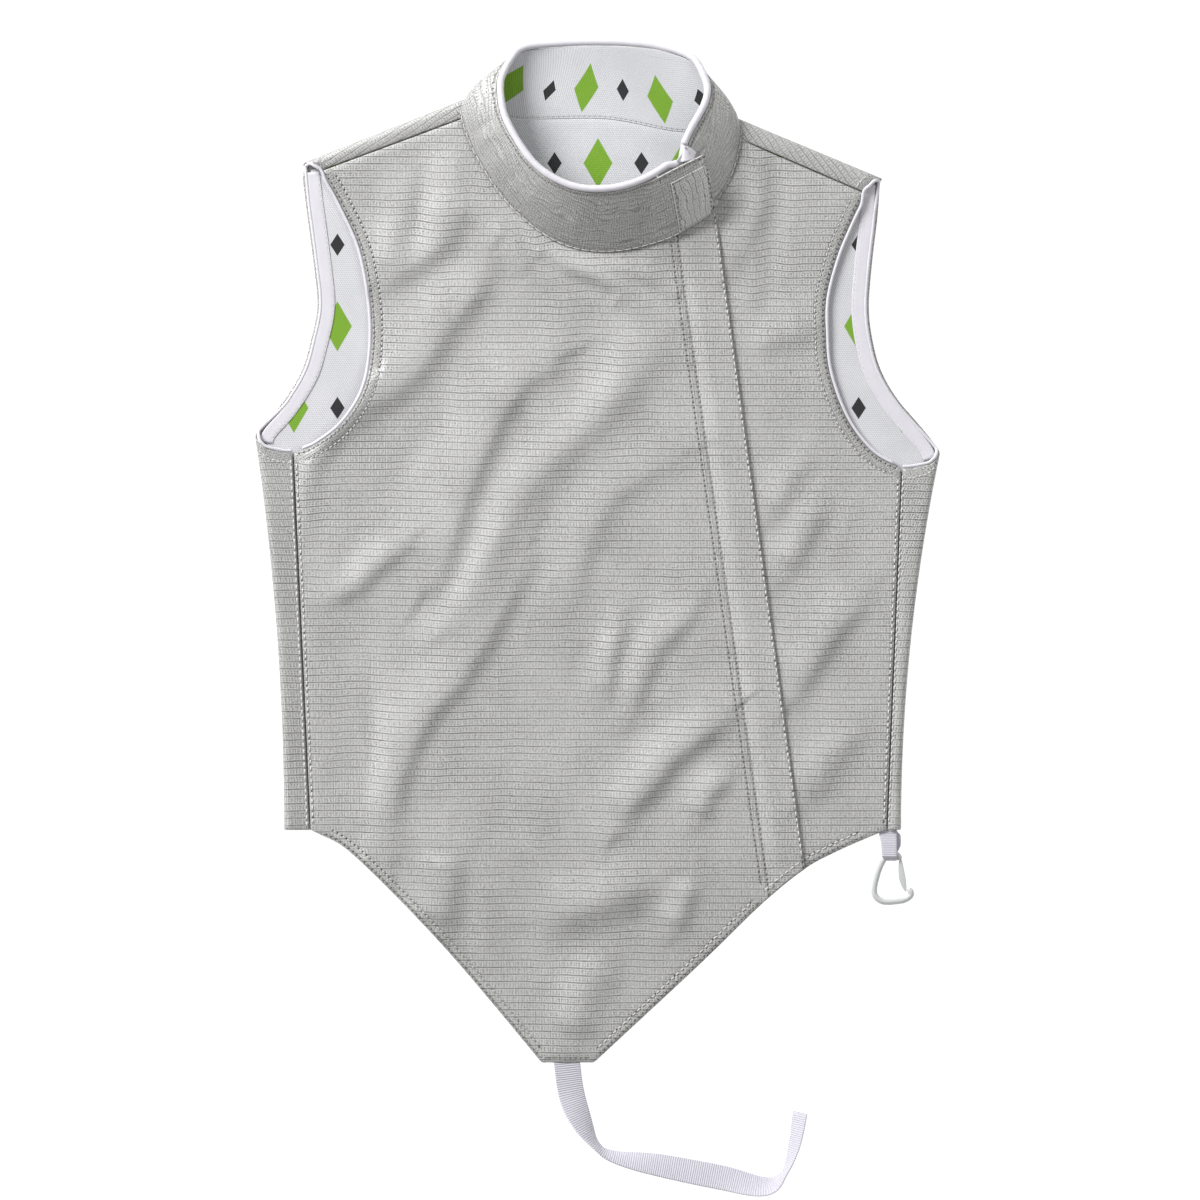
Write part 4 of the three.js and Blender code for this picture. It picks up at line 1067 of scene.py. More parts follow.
# x and y of both ends, spread and rise
backCreases = readRows("""
-180 90 -40 20 16 1      -200 10 -70 -60 14 0.9   -150 -90 -60 -140 12 0.8  170 70 60 10 15 1
190 -20 90 -80 14 0.8    60 -110 150 -150 12 0.8  -90 300 -40 190 16 1      80 290 40 180 15 0.9
-20 120 -10 10 14 0.7    20 -20 10 -120 13 0.7    -150 240 -120 170 12 0.7  150 230 130 160 12 0.7
""", 6)


def foldX(name, y):  # where the side begins to turn over
    side = sideSeams[name]
    share = np.maximum((y - hemY) / (side["armY"] - hemY), 0)
    return side["hemX"] + side["flare"] * share**2 - rollRadius


def stripReach(name, y):  # from a side's fold line to its seam, along the cloth
    side = sideSeams[name]
    seamX = lerp(side["seamHemX"], side["top"][0], (y - hemY) / (side["top"][1] - hemY))
    return rollArc + foldX(name, y) - seamX


def rollPoint(distance, lift):  # how far out and up a place on the cloth comes, past its fold line
    angle = np.clip(distance, 0, rollArc) / rollRadius
    out = rollRadius * np.sin(angle) + np.minimum(distance, 0) - np.maximum(distance - rollArc, 0)
    facing = angle - math.pi / 2
    return out - lift * np.cos(facing), rollRadius * (1 - np.cos(angle)) - lift * np.sin(facing)


def backLay(flat, lift):
    x, y = flat.T
    lift = np.broadcast_to(lift, x.shape)
    hollow = backHollow * smoothstep(smallFolds(x, y, backCreases), 0, 1)
    place = np.stack([x, y, lift + hollow * (1 - lift / wall["lame"])], 1)
    for name, side in sideSeams.items():
        edge = foldX(name, y)
        distance = side["sign"] * x - edge
        here = (distance > 0) & (y < side["armY"] + backOver["above"])
        out, up = rollPoint(distance, lift)
        reach = stripReach(name, np.minimum(y, side["top"][1]))
        share = np.clip((distance - rollArc) / np.maximum(reach - rollArc, 1), 0, 1)
        sink = share * (2 * rollRadius - lifts["side"] - wall["front"])
        place[here] = np.stack([side["sign"] * (edge + out), y, up - sink], 1)[here]
    for name in shoulders:
        arm, neck, along, outward = shoulderLine(name)
        distance, s = (flat - arm) @ outward + rollRadius, (flat - arm) @ along
        long = np.hypot(*(neck - arm))
        here = (distance > 0) & (s > -backOver["armEnd"]) & (s < long + backOver["neckEnd"]) & (y > shouldersAbove)
        share = np.clip(s / long, 0, 1)
        out, up = rollPoint(distance, lift)
        down = 2 * rollRadius - lerp(lifts["shoulder"], lifts["neck"], share) - wall["front"] + 0.2
        sink = np.maximum(distance - rollArc, 0) * down / (lerp(*shoulders[name]["strips"], share) - rollRadius)
        rolled = arm + s[:, None] * along + (out - rollRadius)[:, None] * outward
        place[here] = np.column_stack([rolled, up - sink])[here]
    return place


# How high the armhole's cut edge stands on the rolled side: turn 0 to 1 is round the roll, and 2 is the seam.
armTurn = ([0, 0.25, 0.5, 0.75, 0.9, 1.0, 1.12, 1.55, 2.0], [1.42, 1.27, 1.04, 0.84, 0.67, 0.52, 0.28, 0.04, 0.0])
# How far in from the arm's corner the shoulder strip's end is cut, from the fold round to its seam.
stripEnds = {
    "right": ([0, 0.2, 0.3, 0.4, 0.5, 0.57, 0.7, 0.85, 1.0], [-0.6, -0.3, 0.5, 2.0, 4.2, 6.0, 8.2, 10.3, 12.2]),
    "left": ([0, 0.2, 0.3, 0.4, 0.49, 0.57, 0.755, 1.0], [-4.6, -5.2, -5.0, -3.2, -0.2, 1.9, 3.6, 5.0]),
}
edging = {"out": 4.3, "rim": 5.0, "band": 7.4, "endBand": 5.8, "ditch": 1.3}


def onSide(name, distance, y):  # a place on the flat cloth, so far past the side's fold line
    return np.stack([sideSeams[name]["sign"] * (foldX(name, y) + distance), y], 1)


def sideTop(name, turn, below=0.0):
    side, turn = sideSeams[name], np.asarray(turn, float)
    y = side["top"][1] - 0.6 + np.interp(turn, *armTurn) * (side["armY"] - side["top"][1]) - below
    reach = stripReach(name, side["top"][1])
    return onSide(name, np.where(turn < 1, turn * rollArc, rollArc + (turn - 1) * (reach - rollArc)), y)


def sideEdge(name):  # the rolled side's outline in the flat, from the hem's seam round to the armhole's fold line
    seamYs = np.linspace(hemY, sideSeams[name]["top"][1] - 0.6, 100)
    seam = onSide(name, stripReach(name, seamYs) - 0.4, seamYs)
    return np.vstack([seam, sideTop(name, np.linspace(1.95, 0, 32))])


def stripPoint(name, s, distance):  # a place on a shoulder strip in the flat
    arm, _, along, outward = shoulderLine(name)
    return arm + np.outer(s, along) + np.outer(np.asarray(distance) - rollRadius, outward)


def stripEnd(name, turn, inside=0.0):
    end = rollArc + shoulders[name]["strips"][0] - rollRadius
    return stripPoint(name, np.interp(turn, *stripEnds[name]) + inside, np.asarray(turn) * end)


def shoulderEdge(name):  # from the armhole's fold line out along the strip's end, its seam, and in to the neck's
    arm, neck, _, _ = shoulderLine(name)
    turn = np.linspace(1, 0, 12)
    neckSide = np.hypot(*(neck - arm)) + 4.5 - (shoulders[name]["cuts"][1] + 3) * turn**2
    end = rollArc + shoulders[name]["strips"][1] - rollRadius
    return np.vstack([stripEnd(name, np.linspace(0, 1, 24)), stripPoint(name, neckSide, turn * end)])


def armholeCut(name):  # the cut edge behind the armhole, just outside its piping
    return offsetLine(smoothLine(armholeBack[name], 2.5), -sideSeams[name]["sign"] * edging["out"])[2:-2]


def foldRows():
    for name, side in sideSeams.items():
        ys = np.arange(hemY + 1.5, side["armY"] + 2, 2.6)
        yield from (onSide(name, distance, ys) for distance in backRows)
    for name in shoulders:
        arm, neck, along, outward = shoulderLine(name)
        s = np.arange(3, np.hypot(*(neck - arm)) - 3, 2.6)[:, None]
        yield from (arm + s * along + outward * (distance - rollRadius) for distance in backRows)


def stripRun(name, inside):  # a line of stitches beside the side seam, on the rolled strip
    ys = np.linspace(sideSeams[name]["top"][1] - 5, hemY + 2, 120)
    return onSide(name, stripReach(name, ys) - inside, ys)


def stripHem(name):
    ys = np.full(2, hemY + hem["stitch"])
    return evenly(onSide(name, stripReach(name, ys) - (3, 17), ys), 2)


hemStitchY = np.full(1, hemY + hem["stitch"])
backHem = evenly(np.vstack([onSide(name, rollRadius - 6, hemStitchY) for name in ("right", "left")]), 2)
backSeams = [stripRun("right", 1.8), stripRun("left", 0.8)]
backHems = [stripHem("right"), stripHem("left")]
backArms, backBands = [], []
for name in sideSeams:
    backBands.append(sideTop(name, np.linspace(0.8, 1.93, 40), edging["band"]))
    backArms.append(sideTop(name, np.linspace(1.05, 1.93, 40), edging["ditch"]))
    backBands.append(stripEnd(name, np.linspace(0.5, 0.95, 20), edging["endBand"]))
neckBack = ringPoint("base", 10.4 - np.arange(73) / 15.2)[:, :2] - (0, 0.7)
around = [[sideEdge(name), armholeCut(name), shoulderEdge(name)] for name in ("left", "right")]
backOutline = outlineOf(*around[0], neckBack, *[part[::-1] for part in around[1][::-1]])
armBands = [sideTop(name, np.linspace(0.3, 2, 50)) for name in sideSeams]
endBands = [stripEnd(name, np.linspace(0.2, 1, 30)) for name in shoulders]


def backFinish(centres):
    x, y = centres.T
    kind = np.zeros(len(centres), int)
    for name, side in sideSeams.items():
        over = side["sign"] * x - foldX(name, y) > rollArc * 0.75
        kind[over & (y < side["armY"] + backOver["above"])] = 1
    for name in shoulders:
        arm, _, _, outward = shoulderLine(name)
        kind[((centres - arm) @ outward + rollRadius > 2) & (y > shouldersAbove)] = 2
    kind[(nearestOnLines(centres, armBands)[1] < edging["band"] - 0.3) & (y < sidesBelow)] = 4
    kind[(nearestOnLines(centres, endBands)[1] < edging["endBand"] - 0.3) & (y > shouldersAbove)] = 4
    upper = np.full(len(centres), 3)
    for name in sideSeams:
        ends = np.vstack([sideTop(name, [0.5, 0.2, 0]), armholeCut(name), stripEnd(name, [0, 0.2, 0.35])])
        upper[nearestOnLines(centres, [ends])[1] < edging["rim"]] = 4
    return upper, kind


# The cloth's own face is turned out, so it is the underside of the flat cut, and the lined face is on top.
backPanel = layCloth(
    "backPanel",
    backOutline,
    backLay,
    wall["lame"],
    ("front", "side", "shoulder", "lining", "facing"),
    spacing=4.2,
    rows=list(foldRows()),
    lines=[*backSeams, *backHems, *backArms, *backBands],
    slots=backFinish,
)
finishPiece(backPanel, "lame", "back_panel")


def backRuns(lines):
    for line in lines:
        line = evenly(line, 2)
        bottom = backLay(line, 0.0)
        yield bottom, unit(bottom - backLay(line, 0.5))


sewLines("backStitches", backRuns([*backHems, *backArms, backHem]))
sewLines("backSeamStitches", backRuns(backSeams), **pale)
sewLines("backBandStitches", backRuns(backBands), **banded)
print("back made")

# The lining of the back
lining = {"inset": 3.5, "hem": 26, "spacing": 4.5, "plainBeside": 7, "plainBelow": 108}
liningCreases = readRows("""
-196 178 -214 150 7 0.7  -206 196 -186 160 6 0.5  -232 150 -204 138 6 0.6  -205 312 -196 296 5 0.6
214 142 196 168 7 0.6    232 132 208 124 6 0.7    196 306 190 286 5 0.7    196 160 212 176 5 0.5
-40 360 30 352 14 0.4    -60 340 40 330 16 0.3
""", 6)


def liningHalf(name):
    sign, armY = sideSeams[name]["sign"], sideSeams[name]["armY"]
    ys = np.linspace(hemY + lining["hem"], armY + 3 - lining["inset"], 60)
    arm, neck, along, outward = shoulderLine(name)
    inside = outward * (rollRadius + lining["inset"])
    armholeLine = smoothLine(armholeBack[name], 2.5)[1:-1] - (sign * lining["inset"], 0)
    return onSide(name, -lining["inset"], ys), armholeLine, [arm + along * 3 - inside, neck - along * 3 - inside]


def liningLay(flat, lift):
    swell = 0.35 * np.tanh(smallFolds(*flat.T, liningCreases))
    return np.column_stack([flat, liningBase + lift + np.maximum(swell, -0.2) * (lift > wall["lining"] * 0.4)])


def liningSlots(centres):  # the print stops short of the side seams
    toSeam = [toSegment(*centres.T, *np.ravel(seamEnds(name)))[0] for name in sideSeams]
    plain = (np.min(toSeam, 0) < lining["plainBeside"]) & (centres[:, 1] < lining["plainBelow"])
    return plain, np.zeros(len(centres), int)


backLining = layCloth(
    "backLining",
    outlineOf(*liningHalf("left"), neckBack + (0, 0.5), *[part[::-1] for part in liningHalf("right")[::-1]]),
    liningLay,
    wall["lining"],
    ("lining", "plainLining"),
    spacing=lining["spacing"],
    slots=liningSlots,
)
finishPiece(backLining, "lining", "back_lining")

# The collar: cloth outside, lining inside, piping round the top, closed by a flap with a tab
collar = {"from": -2.15, "to": stationCount - 1.7, "step": 0.05, "columns": 26, "ripple": 1.5}
collar |= {"flapLift": 2.4, "flapRise": (-1.55, -0.8), "baseStitch": 1.7, "topStitch": 2.2, "cord": 0.3}
tab = {"from": -2.17, "to": -1.515, "low": 0.01, "high": 0.84, "off": 0.4, "round": 0.2, "stitch": 1.6}
tab["topStitch"] = 6.2
ringPlaces = np.linspace(-4, 20, 2401)
ringLengths = lengthsAlong(ringPoint("base", ringPlaces))


def ringAlong(place):
    along = np.interp(np.maximum(place, flap["start"]), ringPlaces, ringLengths)
    return along - np.maximum(flap["start"] - place, 0) / flap["reach"] * flap["long"]


def flapDepth(place):
    return -collar["flapLift"] * (1 - smoothstep(place, *collar["flapRise"]))


def collarHeight(place):
    flat = np.ravel(place)
    return np.linalg.norm(ringPoint("top", flat) - ringPoint("base", flat), axis=-1).reshape(np.shape(place))


# The collar's puckers: place round the ring, share of its height, spread and rise
puckers = readRows("""
3.1 0.35 0.10 0.35  3.35 0.55 0.09 -0.3  2.6 0.5 0.12 0.35    2.25 0.35 0.10 -0.3  1.7 0.6 0.12 0.3
4.4 0.5 0.14 0.4    4.8 0.4 0.12 -0.35   13.1 0.45 0.11 0.4   12.7 0.55 0.12 -0.35 12.4 0.4 0.12 0.35
13.6 0.5 0.10 0.3   11.4 0.5 0.13 0.35   0.6 0.6 0.16 0.25    -0.7 0.5 0.14 0.25
""", 4)


def collarRipple(place, share):
    ripple = np.zeros(np.broadcast(place, share).shape)
    for centre, high, spread, rise in puckers:
        for turn in (0, stationCount, -stationCount):
            away = place - centre - turn + (share - high) * 0.25
            ripple += rise * bell(away, spread) * np.sin(math.pi * share)
    return ripple


def collarGrid(start, end, low):
    places = np.append(np.arange(start, end, collar["step"]), end)
    inner = np.linspace(0.1, 0.9, collar["columns"] - 10)
    fine = np.concatenate([[0, 0.006, 0.02, 0.045, 0.07], inner, [0.93, 0.955, 0.98, 0.994, 1]])
    place, share = np.meshgrid(places, lerp(low, 1, fine), indexing="ij")
    tall = collarHeight(place)
    return place, share, tall, bell(np.minimum(share - low, 1 - share) * tall, 0.5)


place, share, tall, edge = collarGrid(collar["from"], collar["to"], 0)
off = np.minimum(np.abs(share * tall - collar["baseStitch"]), np.abs((1 - share) * tall - collar["topStitch"]))
raised = 0.25 * edge + 0.2 * bell(off, 0.8) - collarRipple(place, share) * collar["ripple"]
along = ringAlong(place)
collarPiece = gridShell(
    "collarCloth",
    collarPoint(place, share, flapDepth(place) + raised),
    collarPoint(place, share, flapDepth(place) + wall["lame"] - 0.25 * edge),
    ("collar",),
    np.dstack([along, share * tall + 3 * np.sin(along / 60)]),
    np.dstack([along, off]),
)
finishPiece(collarPiece, "lame", "collar")

place, share, tall, edge = collarGrid(flap["start"], stationCount - 1.4, 0.004)
along, outside = ringAlong(place), wall["lame"] + 0.5
inside = outside + wall["lining"] - 0.2 * edge + 0.3 * collarRipple(place, share)
collarLining = gridShell(
    "collarLining",
    collarPoint(place, share, inside, ringFace),
    collarPoint(place, share, outside + 0.2 * edge, ringFace),
    ("lining",),
    np.dstack([along + 16, share * tall + 7]),
    np.dstack([along, np.minimum(np.abs(share * tall - 1.6), np.abs((1 - share) * tall - 7))]),
)
finishPiece(collarLining, "lining", "collar_lining")


def collarLine(places, share, depth=0.0):
    depth = flapDepth(places) + depth
    line = collarPoint(places, share, depth)
    return line, unit(line - collarPoint(places, share, depth + 1))


def collarRun(start, end, fromBase=None, fromTop=None, depth=0.0):
    places = np.linspace(start, end, 700)
    tall = collarHeight(places)
    return collarLine(places, 1 - fromTop / tall if fromBase is None else fromBase / tall, depth)


standing = ((-2.1, 5.5), (10.4, collar["to"] - 0.05))  # the base between these lies on the surface
collarRuns = [collarRun(*ends, fromBase=collar["baseStitch"]) for ends in standing]
collarRuns.append(collarRun(standing[0][0], standing[1][1], fromTop=collar["topStitch"]))
sewLines("collarStitches", collarRuns, pitch=2.6, radius=0.2)
cordRuns = [collarRun(*ends, fromBase=collar["cord"]) for ends in standing]
cordRuns.append(collarRun(standing[0][0], tab["to"] + 0.3, fromTop=collar["cord"]))
sewLines("collarEdgeCord", cordRuns, pitch=6.5, radius=0.38, length=0.97, finish="paleThread")

# The collar's lower edge, rolled under
roll = {"radius": 0.75, "inside": 0.7, "below": 0.65}
for name, ends in zip(("collarRollRight", "collarRollLeft"), standing):
    places = np.linspace(*ends, 220)
    line = collarPoint(places, 0 * places, flapDepth(places) + roll["inside"])
    line[:, 2] = np.maximum(line[:, 2] - roll["below"], roll["radius"])
    finishPiece(tubeAlong(name, line, roll["radius"], 10, ("facing",)), "lame", "collar")

piping = {"radius": 2.7, "middle": 1.35, "from": -1.95, "to": 13.47, "step": 0.04, "tucked": 0.3, "sunk": 4.5}
places = np.append(np.arange(piping["from"], piping["to"], piping["step"]), piping["to"])
depth = np.full_like(places, piping["middle"])
line = collarPoint(places, np.ones_like(places), depth, ringFace)
ways, up = waysAlong(line), line - collarPoint(places, np.full_like(places, 0.9), depth, ringFace)
up = unit(up - ways * (up * ways).sum(1, keepdims=True))
# Its upper end is tucked down behind the cloth.
sunk = piping["sunk"] * (1 - smoothstep(places, piping["from"], piping["from"] + piping["tucked"]))
line += up * (piping["radius"] + 0.3) - up * sunk[:, None]
line[:, 2] = np.maximum(line[:, 2], piping["radius"])
swell = 1 + 0.02 * np.sin(places * 9) + 0.015 * np.sin(places * 23 + 1)
finishPiece(tubeAlong("collarPiping", line, piping["radius"] * swell, 20, ("binding",)), "binding", "collar_piping")


# The tab sewn over the closure, with a rounded end
def cutCorner(high):
    return 1 - np.sqrt(1 - np.clip((tab["round"] - high) / tab["round"], 0, 1) ** 2)


endShare, high = np.meshgrid(np.linspace(0, 1, 44), np.linspace(0, 1, 44), indexing="ij")
endShare += (1 - endShare) * (0.2 * cutCorner(high) + 0.14 * cutCorner(1 - high))
place, share = lerp(tab["from"], tab["to"], endShare), lerp(tab["low"], tab["high"], high)
tall = collarHeight(place)
toEnd = np.minimum(place - tab["from"], tab["to"] - place) * flap["long"] / flap["reach"]
edge = np.minimum(toEnd, np.minimum(share - tab["low"], tab["high"] - share) * tall)
wrinkle = 0.25 * np.sin(place * 21 + share * 3) * np.sin(math.pi * (share - tab["low"]) / 0.78)
depth = flapDepth(place) - tab["off"]
tabPiece = gridShell(
    "collarTab",
    collarPoint(place, share, depth - wall["lame"] + 0.4 * bell(edge, 0.5) - wrinkle),
    collarPoint(place, share, depth - 0.2 * bell(edge, 0.5)),
    ("tab",),
    np.dstack([ringAlong(place), share * tall]),
    np.dstack([share * tall, np.abs(edge - tab["stitch"])]),
)
finishPiece(tabPiece, "lame", "collar_tab")
tabDepth = -tab["off"] - wall["lame"]
upTab = np.linspace(tab["low"] + 0.03, tab["high"] - 0.03, 60)
tabRuns = [collarLine(np.full(60, at), upTab, tabDepth) for at in (tab["to"] - 0.035, tab["from"] + 0.055)]
tabRuns.append(collarRun(tab["from"] + 0.1, tab["to"] - 0.03, fromTop=tab["topStitch"], depth=tabDepth))
sewLines("tabStitches", tabRuns, pitch=2.4, radius=0.2)

# The zip's tape, folded over in the collar's opening, and its top teeth
tapeEnds = readRows("74.5 348 35.6  65.2 355.5 37.4  62.5 354 27  72.5 342.5 35.2  63.8 340.5 38.2  60.5 342 28", 3)
acrossTape, alongTape = np.linspace(0, 2, 26), np.linspace(0, 1, 12)
tape = lerp(*(catmull(end, acrossTape) for end in (tapeEnds[:3], tapeEnds[3:])), alongTape[:, None, None])
tape[..., 2] -= 0.8 * np.sin(math.pi * alongTape)[:, None]
tapeCloth = np.dstack(np.meshgrid(alongTape * 16, acrossTape * 10, indexing="ij"))
tapePiece = gridShell("zipTape", tape, tape - (0, 0, 0.9), ("binding",), tapeCloth)
finishPiece(tapePiece, "binding", "zip_tape")
teeth = []
for i, place in enumerate(readRows("65.6 355.2 37.6  67.2 353.7 37.4  68.9 352.4 37.0  66.2 351.2 37.9", 3)):
    bpy.ops.mesh.primitive_cube_add(size=1.6 * mm, location=place * mm, rotation=(0.3, 0.2, 0.7 + 0.5 * i))
    teeth.append(bpy.context.object)
    teeth[-1].scale = (1.0, 0.55, 0.6)


def applyPlace(*pieces):
    selectOnly(*pieces)
    bpy.ops.object.transform_apply(location=True, rotation=True, scale=True)


def softenEdges(piece, width, segments, angle=30):
    bevel = piece.modifiers.new("softEdges", "BEVEL")
    bevel.width = width * mm
    bevel.segments = segments
    bevel.angle_limit = math.radians(angle)
    bpy.ops.object.modifier_apply(modifier=bevel.name)


selectOnly(*teeth)
bpy.ops.object.join()
zipTeeth = bpy.context.object
zipTeeth.name = "zipTeeth"
zipTeeth.data.materials.append(finishes["tooth"])
applyPlace(zipTeeth)
softenEdges(zipTeeth, 0.15, 2)
finishPiece(zipTeeth, "binding")
print("collar made")

# Piping and bindings of the armholes
armhole = {"piping": 1.25, "clear": 0.45, "corner": ((4.7, 5.9), (2.7, 1.8)), "cornerHeight": 4.6}
# The piping's turn at the shoulder: along it, in from its outline, and up
topTurns = {
    "right": readRows("10.8 10.4 6.9  7.5 5.7 7.6  4.8 2.4 6.9  2.6 2.8 4.6  0.4 5 2.9", 3),
    "left": readRows("4.1 14.6 7.1  2.0 9.2 7.6  0.2 4.9 7.5  -1.8 3.1 6.0  -3.9 4.6 3.4", 3),
}
binding = {"base": layersTop - 0.1, "wide": 9, "stitched": 7.6}
bindingUnder = {"right": (-256.5, 127.5), "left": (256.5, 114.5)}  # where its lower end goes under


def armholePiping(name):
    side, sign = sideSeams[name], sideSeams[name]["sign"]
    radius = armhole["piping"]
    off, resting = radius + armhole["clear"], wall["lame"] + radius + 0.1
    front = offsetLine(smoothLine(armholeFront[name], 8)[::-1], -sign * off)[1:-1]
    front = np.column_stack([front, frontHeight(*front.T) + wall["front"] / 2])
    back = offsetLine(smoothLine(armholeBack[name], 12)[::-1], sign * off)[2:-2]
    back = np.column_stack([back, np.full(len(back), resting)])
    corner = foldX(name, side["armY"]) + rollRadius
    (in1, up1), (in2, up2) = armhole["corner"]
    bottom = [(sign * (corner - in1), side["armY"] + up1, resting + 0.1)]
    bottom.append((sign * (corner - in2), side["armY"] + up2, armhole["cornerHeight"]))
    edge = backLay(sideTop(name, [0.9, 1.0, 1.12, 1.35, 1.7, 2.0]), wall["lame"] / 2) + (0, off, 0)
    edge[-1, 0] += sign * 0.8
    arm, _, along, outward = shoulderLine(name)
    turn = topTurns[name]
    top = np.column_stack([arm + turn[:, :1] * along - turn[:, 1:2] * outward, turn[:, 2]])
    points = np.vstack([front, top, back, bottom, edge])
    points[:, 2] = np.maximum(points[:, 2], radius + 0.15)
    line = evenly(catmull(points, np.linspace(0, len(points) - 1, 900)), 1.6)
    line[:, 2] = np.maximum(line[:, 2], radius + 0.15)
    return line


for name, label in (("right", "Right"), ("left", "Left")):
    line = armholePiping(name)
    swell = armhole["piping"] * (1 + 0.03 * np.sin(lengthsAlong(line) / 9))
    pipe = tubeAlong("armholePiping" + label, line, swell, 12, ("binding",))
    finishPiece(pipe, "binding", "armhole_piping_" + name)
    line = smoothLine(np.vstack([[bindingUnder[name]], armholeBack[name]]), 2.2)[1:-1]
    ways = waysAlong(line)
    inward = -sideSeams[name]["sign"] * np.sign(ways[:, 1:]) * np.stack([ways[:, 1], -ways[:, 0]], 1)
    far = np.concatenate([[-1.0, -0.4, 0.6], np.linspace(1.8, 8, 10), [8.5, 8.8, binding["wide"]]])
    flat = line[:, None] + inward[:, None] * far[:, None]
    thinning = np.sqrt(np.clip(np.minimum(far + 1.6, binding["wide"] - far) / 1.8, 0, 1))
    fromStitches = np.abs(far - binding["stitched"])
    height = binding["base"] + wall["binding"] * (0.35 + 0.65 * thinning) - 0.15 * bell(fromStitches, 0.6)
    piece = gridShell(
        "armholeBinding" + label,
        np.dstack([flat, np.broadcast_to(height, flat.shape[:2])]),
        np.dstack([flat, np.full(flat.shape[:2], binding["base"])]),
        ("binding",),
        np.dstack(np.meshgrid(lengthsAlong(line), far, indexing="ij")),
        np.dstack(np.meshgrid(lengthsAlong(line), fromStitches, indexing="ij")),
    )
    finishPiece(piece, "binding", "armhole_binding_" + name)
    run = line + inward * binding["stitched"]
    run = facingUp(np.column_stack([run, np.full(len(run), binding["base"] + wall["binding"] - 0.1)]))
    sewLines("bindingStitches" + label, [run], finish="whiteThread", radius=0.18)
print("armholes made")

# Webbing: the crotch strap and the hook's loop
strap = {"width": 20.0, "wall": 1.2, "steps": 170}
strapRoute = readRows("""
-23.6 -328 0  -23.6 -342 0     -20 -367 8       -12 -388 40      -1.5 -405 74  12 -413.5 66
47 -420.3 34  92.7 -429.4 24   126.9 -436.2 48  141.5 -425.6 78  149 -405 66   153.5 -380 58
""", 3)  # x, y and how far it is rolled up on its edge, in degrees
hook = {"axis": np.array([224.0, -184.3, 5.0]), "bar": 2.2, "swell": 1.1, "drop": 0.077, "taper": 0.72}
loop = {"wall": 1.0, "turnWidth": 6.0, "width": 13.0, "beside": 0.1, "low": 1.95, "high": 3.2, "aside": 3.2}
loop |= {"under": 13, "bend": 9}  # how far it reaches under the hem, and where it begins to turn round the bar


def webbing(name, finish, middle, widthWays, widths, thick, shares, wide):
    normal = unit(np.cross(np.gradient(middle, axis=0), widthWays))
    flat = middle[:, None] + widthWays[:, None] * (shares[:, None] * np.reshape(widths, (-1, 1, 1)))
    edge = 0.25 + 0.75 * np.sqrt(np.clip((0.5 - np.abs(shares)) * np.mean(widths) / 0.5, 0, 1))
    half = normal[:, None] * (thick / 2 * edge)[:, None]
    cloth = np.dstack(np.meshgrid(lengthsAlong(middle), shares * wide, indexing="ij")[::-1])
    return gridShell(name, flat + half, flat - half, (finish,), cloth)


def crotchStrap():
    line = evenly(catmull(strapRoute, np.linspace(0, len(strapRoute) - 1, 900)), 1.0)
    line = evenly(line, lengthsAlong(line)[-1] / strap["steps"])
    way = waysAlong(line * (1, 1, 0))
    roll = np.radians(np.maximum(line[:, 2:], 0))
    widthWays = way[:, [1, 0, 2]] * (1, -1, 0) * np.cos(roll) + np.array([0, 0, 1]) * np.sin(roll)
    rest = strap["width"] / 2 * np.sin(roll) + strap["wall"] / 2 * np.cos(roll)
    shares = np.concatenate([[-0.5, -0.49, -0.47], np.linspace(-0.44, 0.44, 11), [0.47, 0.49, 0.5]])
    middle, wide = np.column_stack([line[:, :2], rest]), strap["width"]
    return webbing("crotchStrap", "webbing", middle, widthWays, np.full(len(line), wide), strap["wall"], shares, wide)


strapPiece = crotchStrap()
finishPiece(strapPiece, "webbing", "crotch_strap")


def hookLoop():
    axisX, axisY, axisZ = hook["axis"]
    turn, far = hook["bar"] + 1.5 + loop["wall"] / 2, hemY + loop["under"]
    wide, low, high = loop["width"], loop["low"], loop["high"]
    profile = [(far, low, wide), (hemY + 1, low, wide), (axisY + loop["bend"], 1.2, 11)]
    for i in range(9):  # round the hook's bar
        angle = -math.pi / 2 - math.pi * i / 8
        turnWidth = loop["turnWidth"] + 5.5 * smoothstep(i, 2, 8)
        profile.append((axisY + turn * math.cos(angle), axisZ + turn * math.sin(angle), turnWidth))
    profile += [(axisY + loop["bend"], 6.6, 12), (hemY - 1, high + 0.1, wide + 0.5), (far, high, wide)]
    rows = catmull(profile, np.linspace(0, len(profile) - 1, 90))
    y, z, widths = rows.T
    lower = np.linspace(0, 1, len(rows)) < 0.5  # the strand below shows beside the one above
    aside = loop["aside"] * smoothstep(hemY - 0.5 - y, 0, 4) * smoothstep(y - axisY, -1, 8) * lower
    middle = np.stack([axisX - loop["beside"] - (widths - loop["turnWidth"]) / 2 + aside, y, z], 1)
    shares = np.concatenate([[-0.5, -0.48], np.linspace(-0.44, 0.44, 9), [0.48, 0.5]])
    widthWays = np.tile([1.0, 0, 0], (len(middle), 1))
    return webbing("hookLoop", "loopWebbing", middle, widthWays, widths, loop["wall"], shares, wide)


loopPiece = hookLoop()
finishPiece(loopPiece, "webbing", "hook_loop")
print("webbing made")

# The hook: a rounded bar bent to a triangle, and its gate
hookRoute = readRows("""
12.2 -26 13.9 -30.4 9.3 -34.2 1 -35.7 -7.4 -35.7 -13.1 -31.9 -14.2 -25.1 -11.2 -12.9
-7.4 -4.4 -4 -0.6 0 0.4 3.4 -0.5 5.4 -3.6
""")
gate = {"thick": 2.6, "soft": 0.75}
gateOutline = readRows("4.78 -4.48 4.1 -12 5 -20 7.9 -26.4 10.2 -27.8 10.1 -21 8.6 -12 6.46 -3.4")


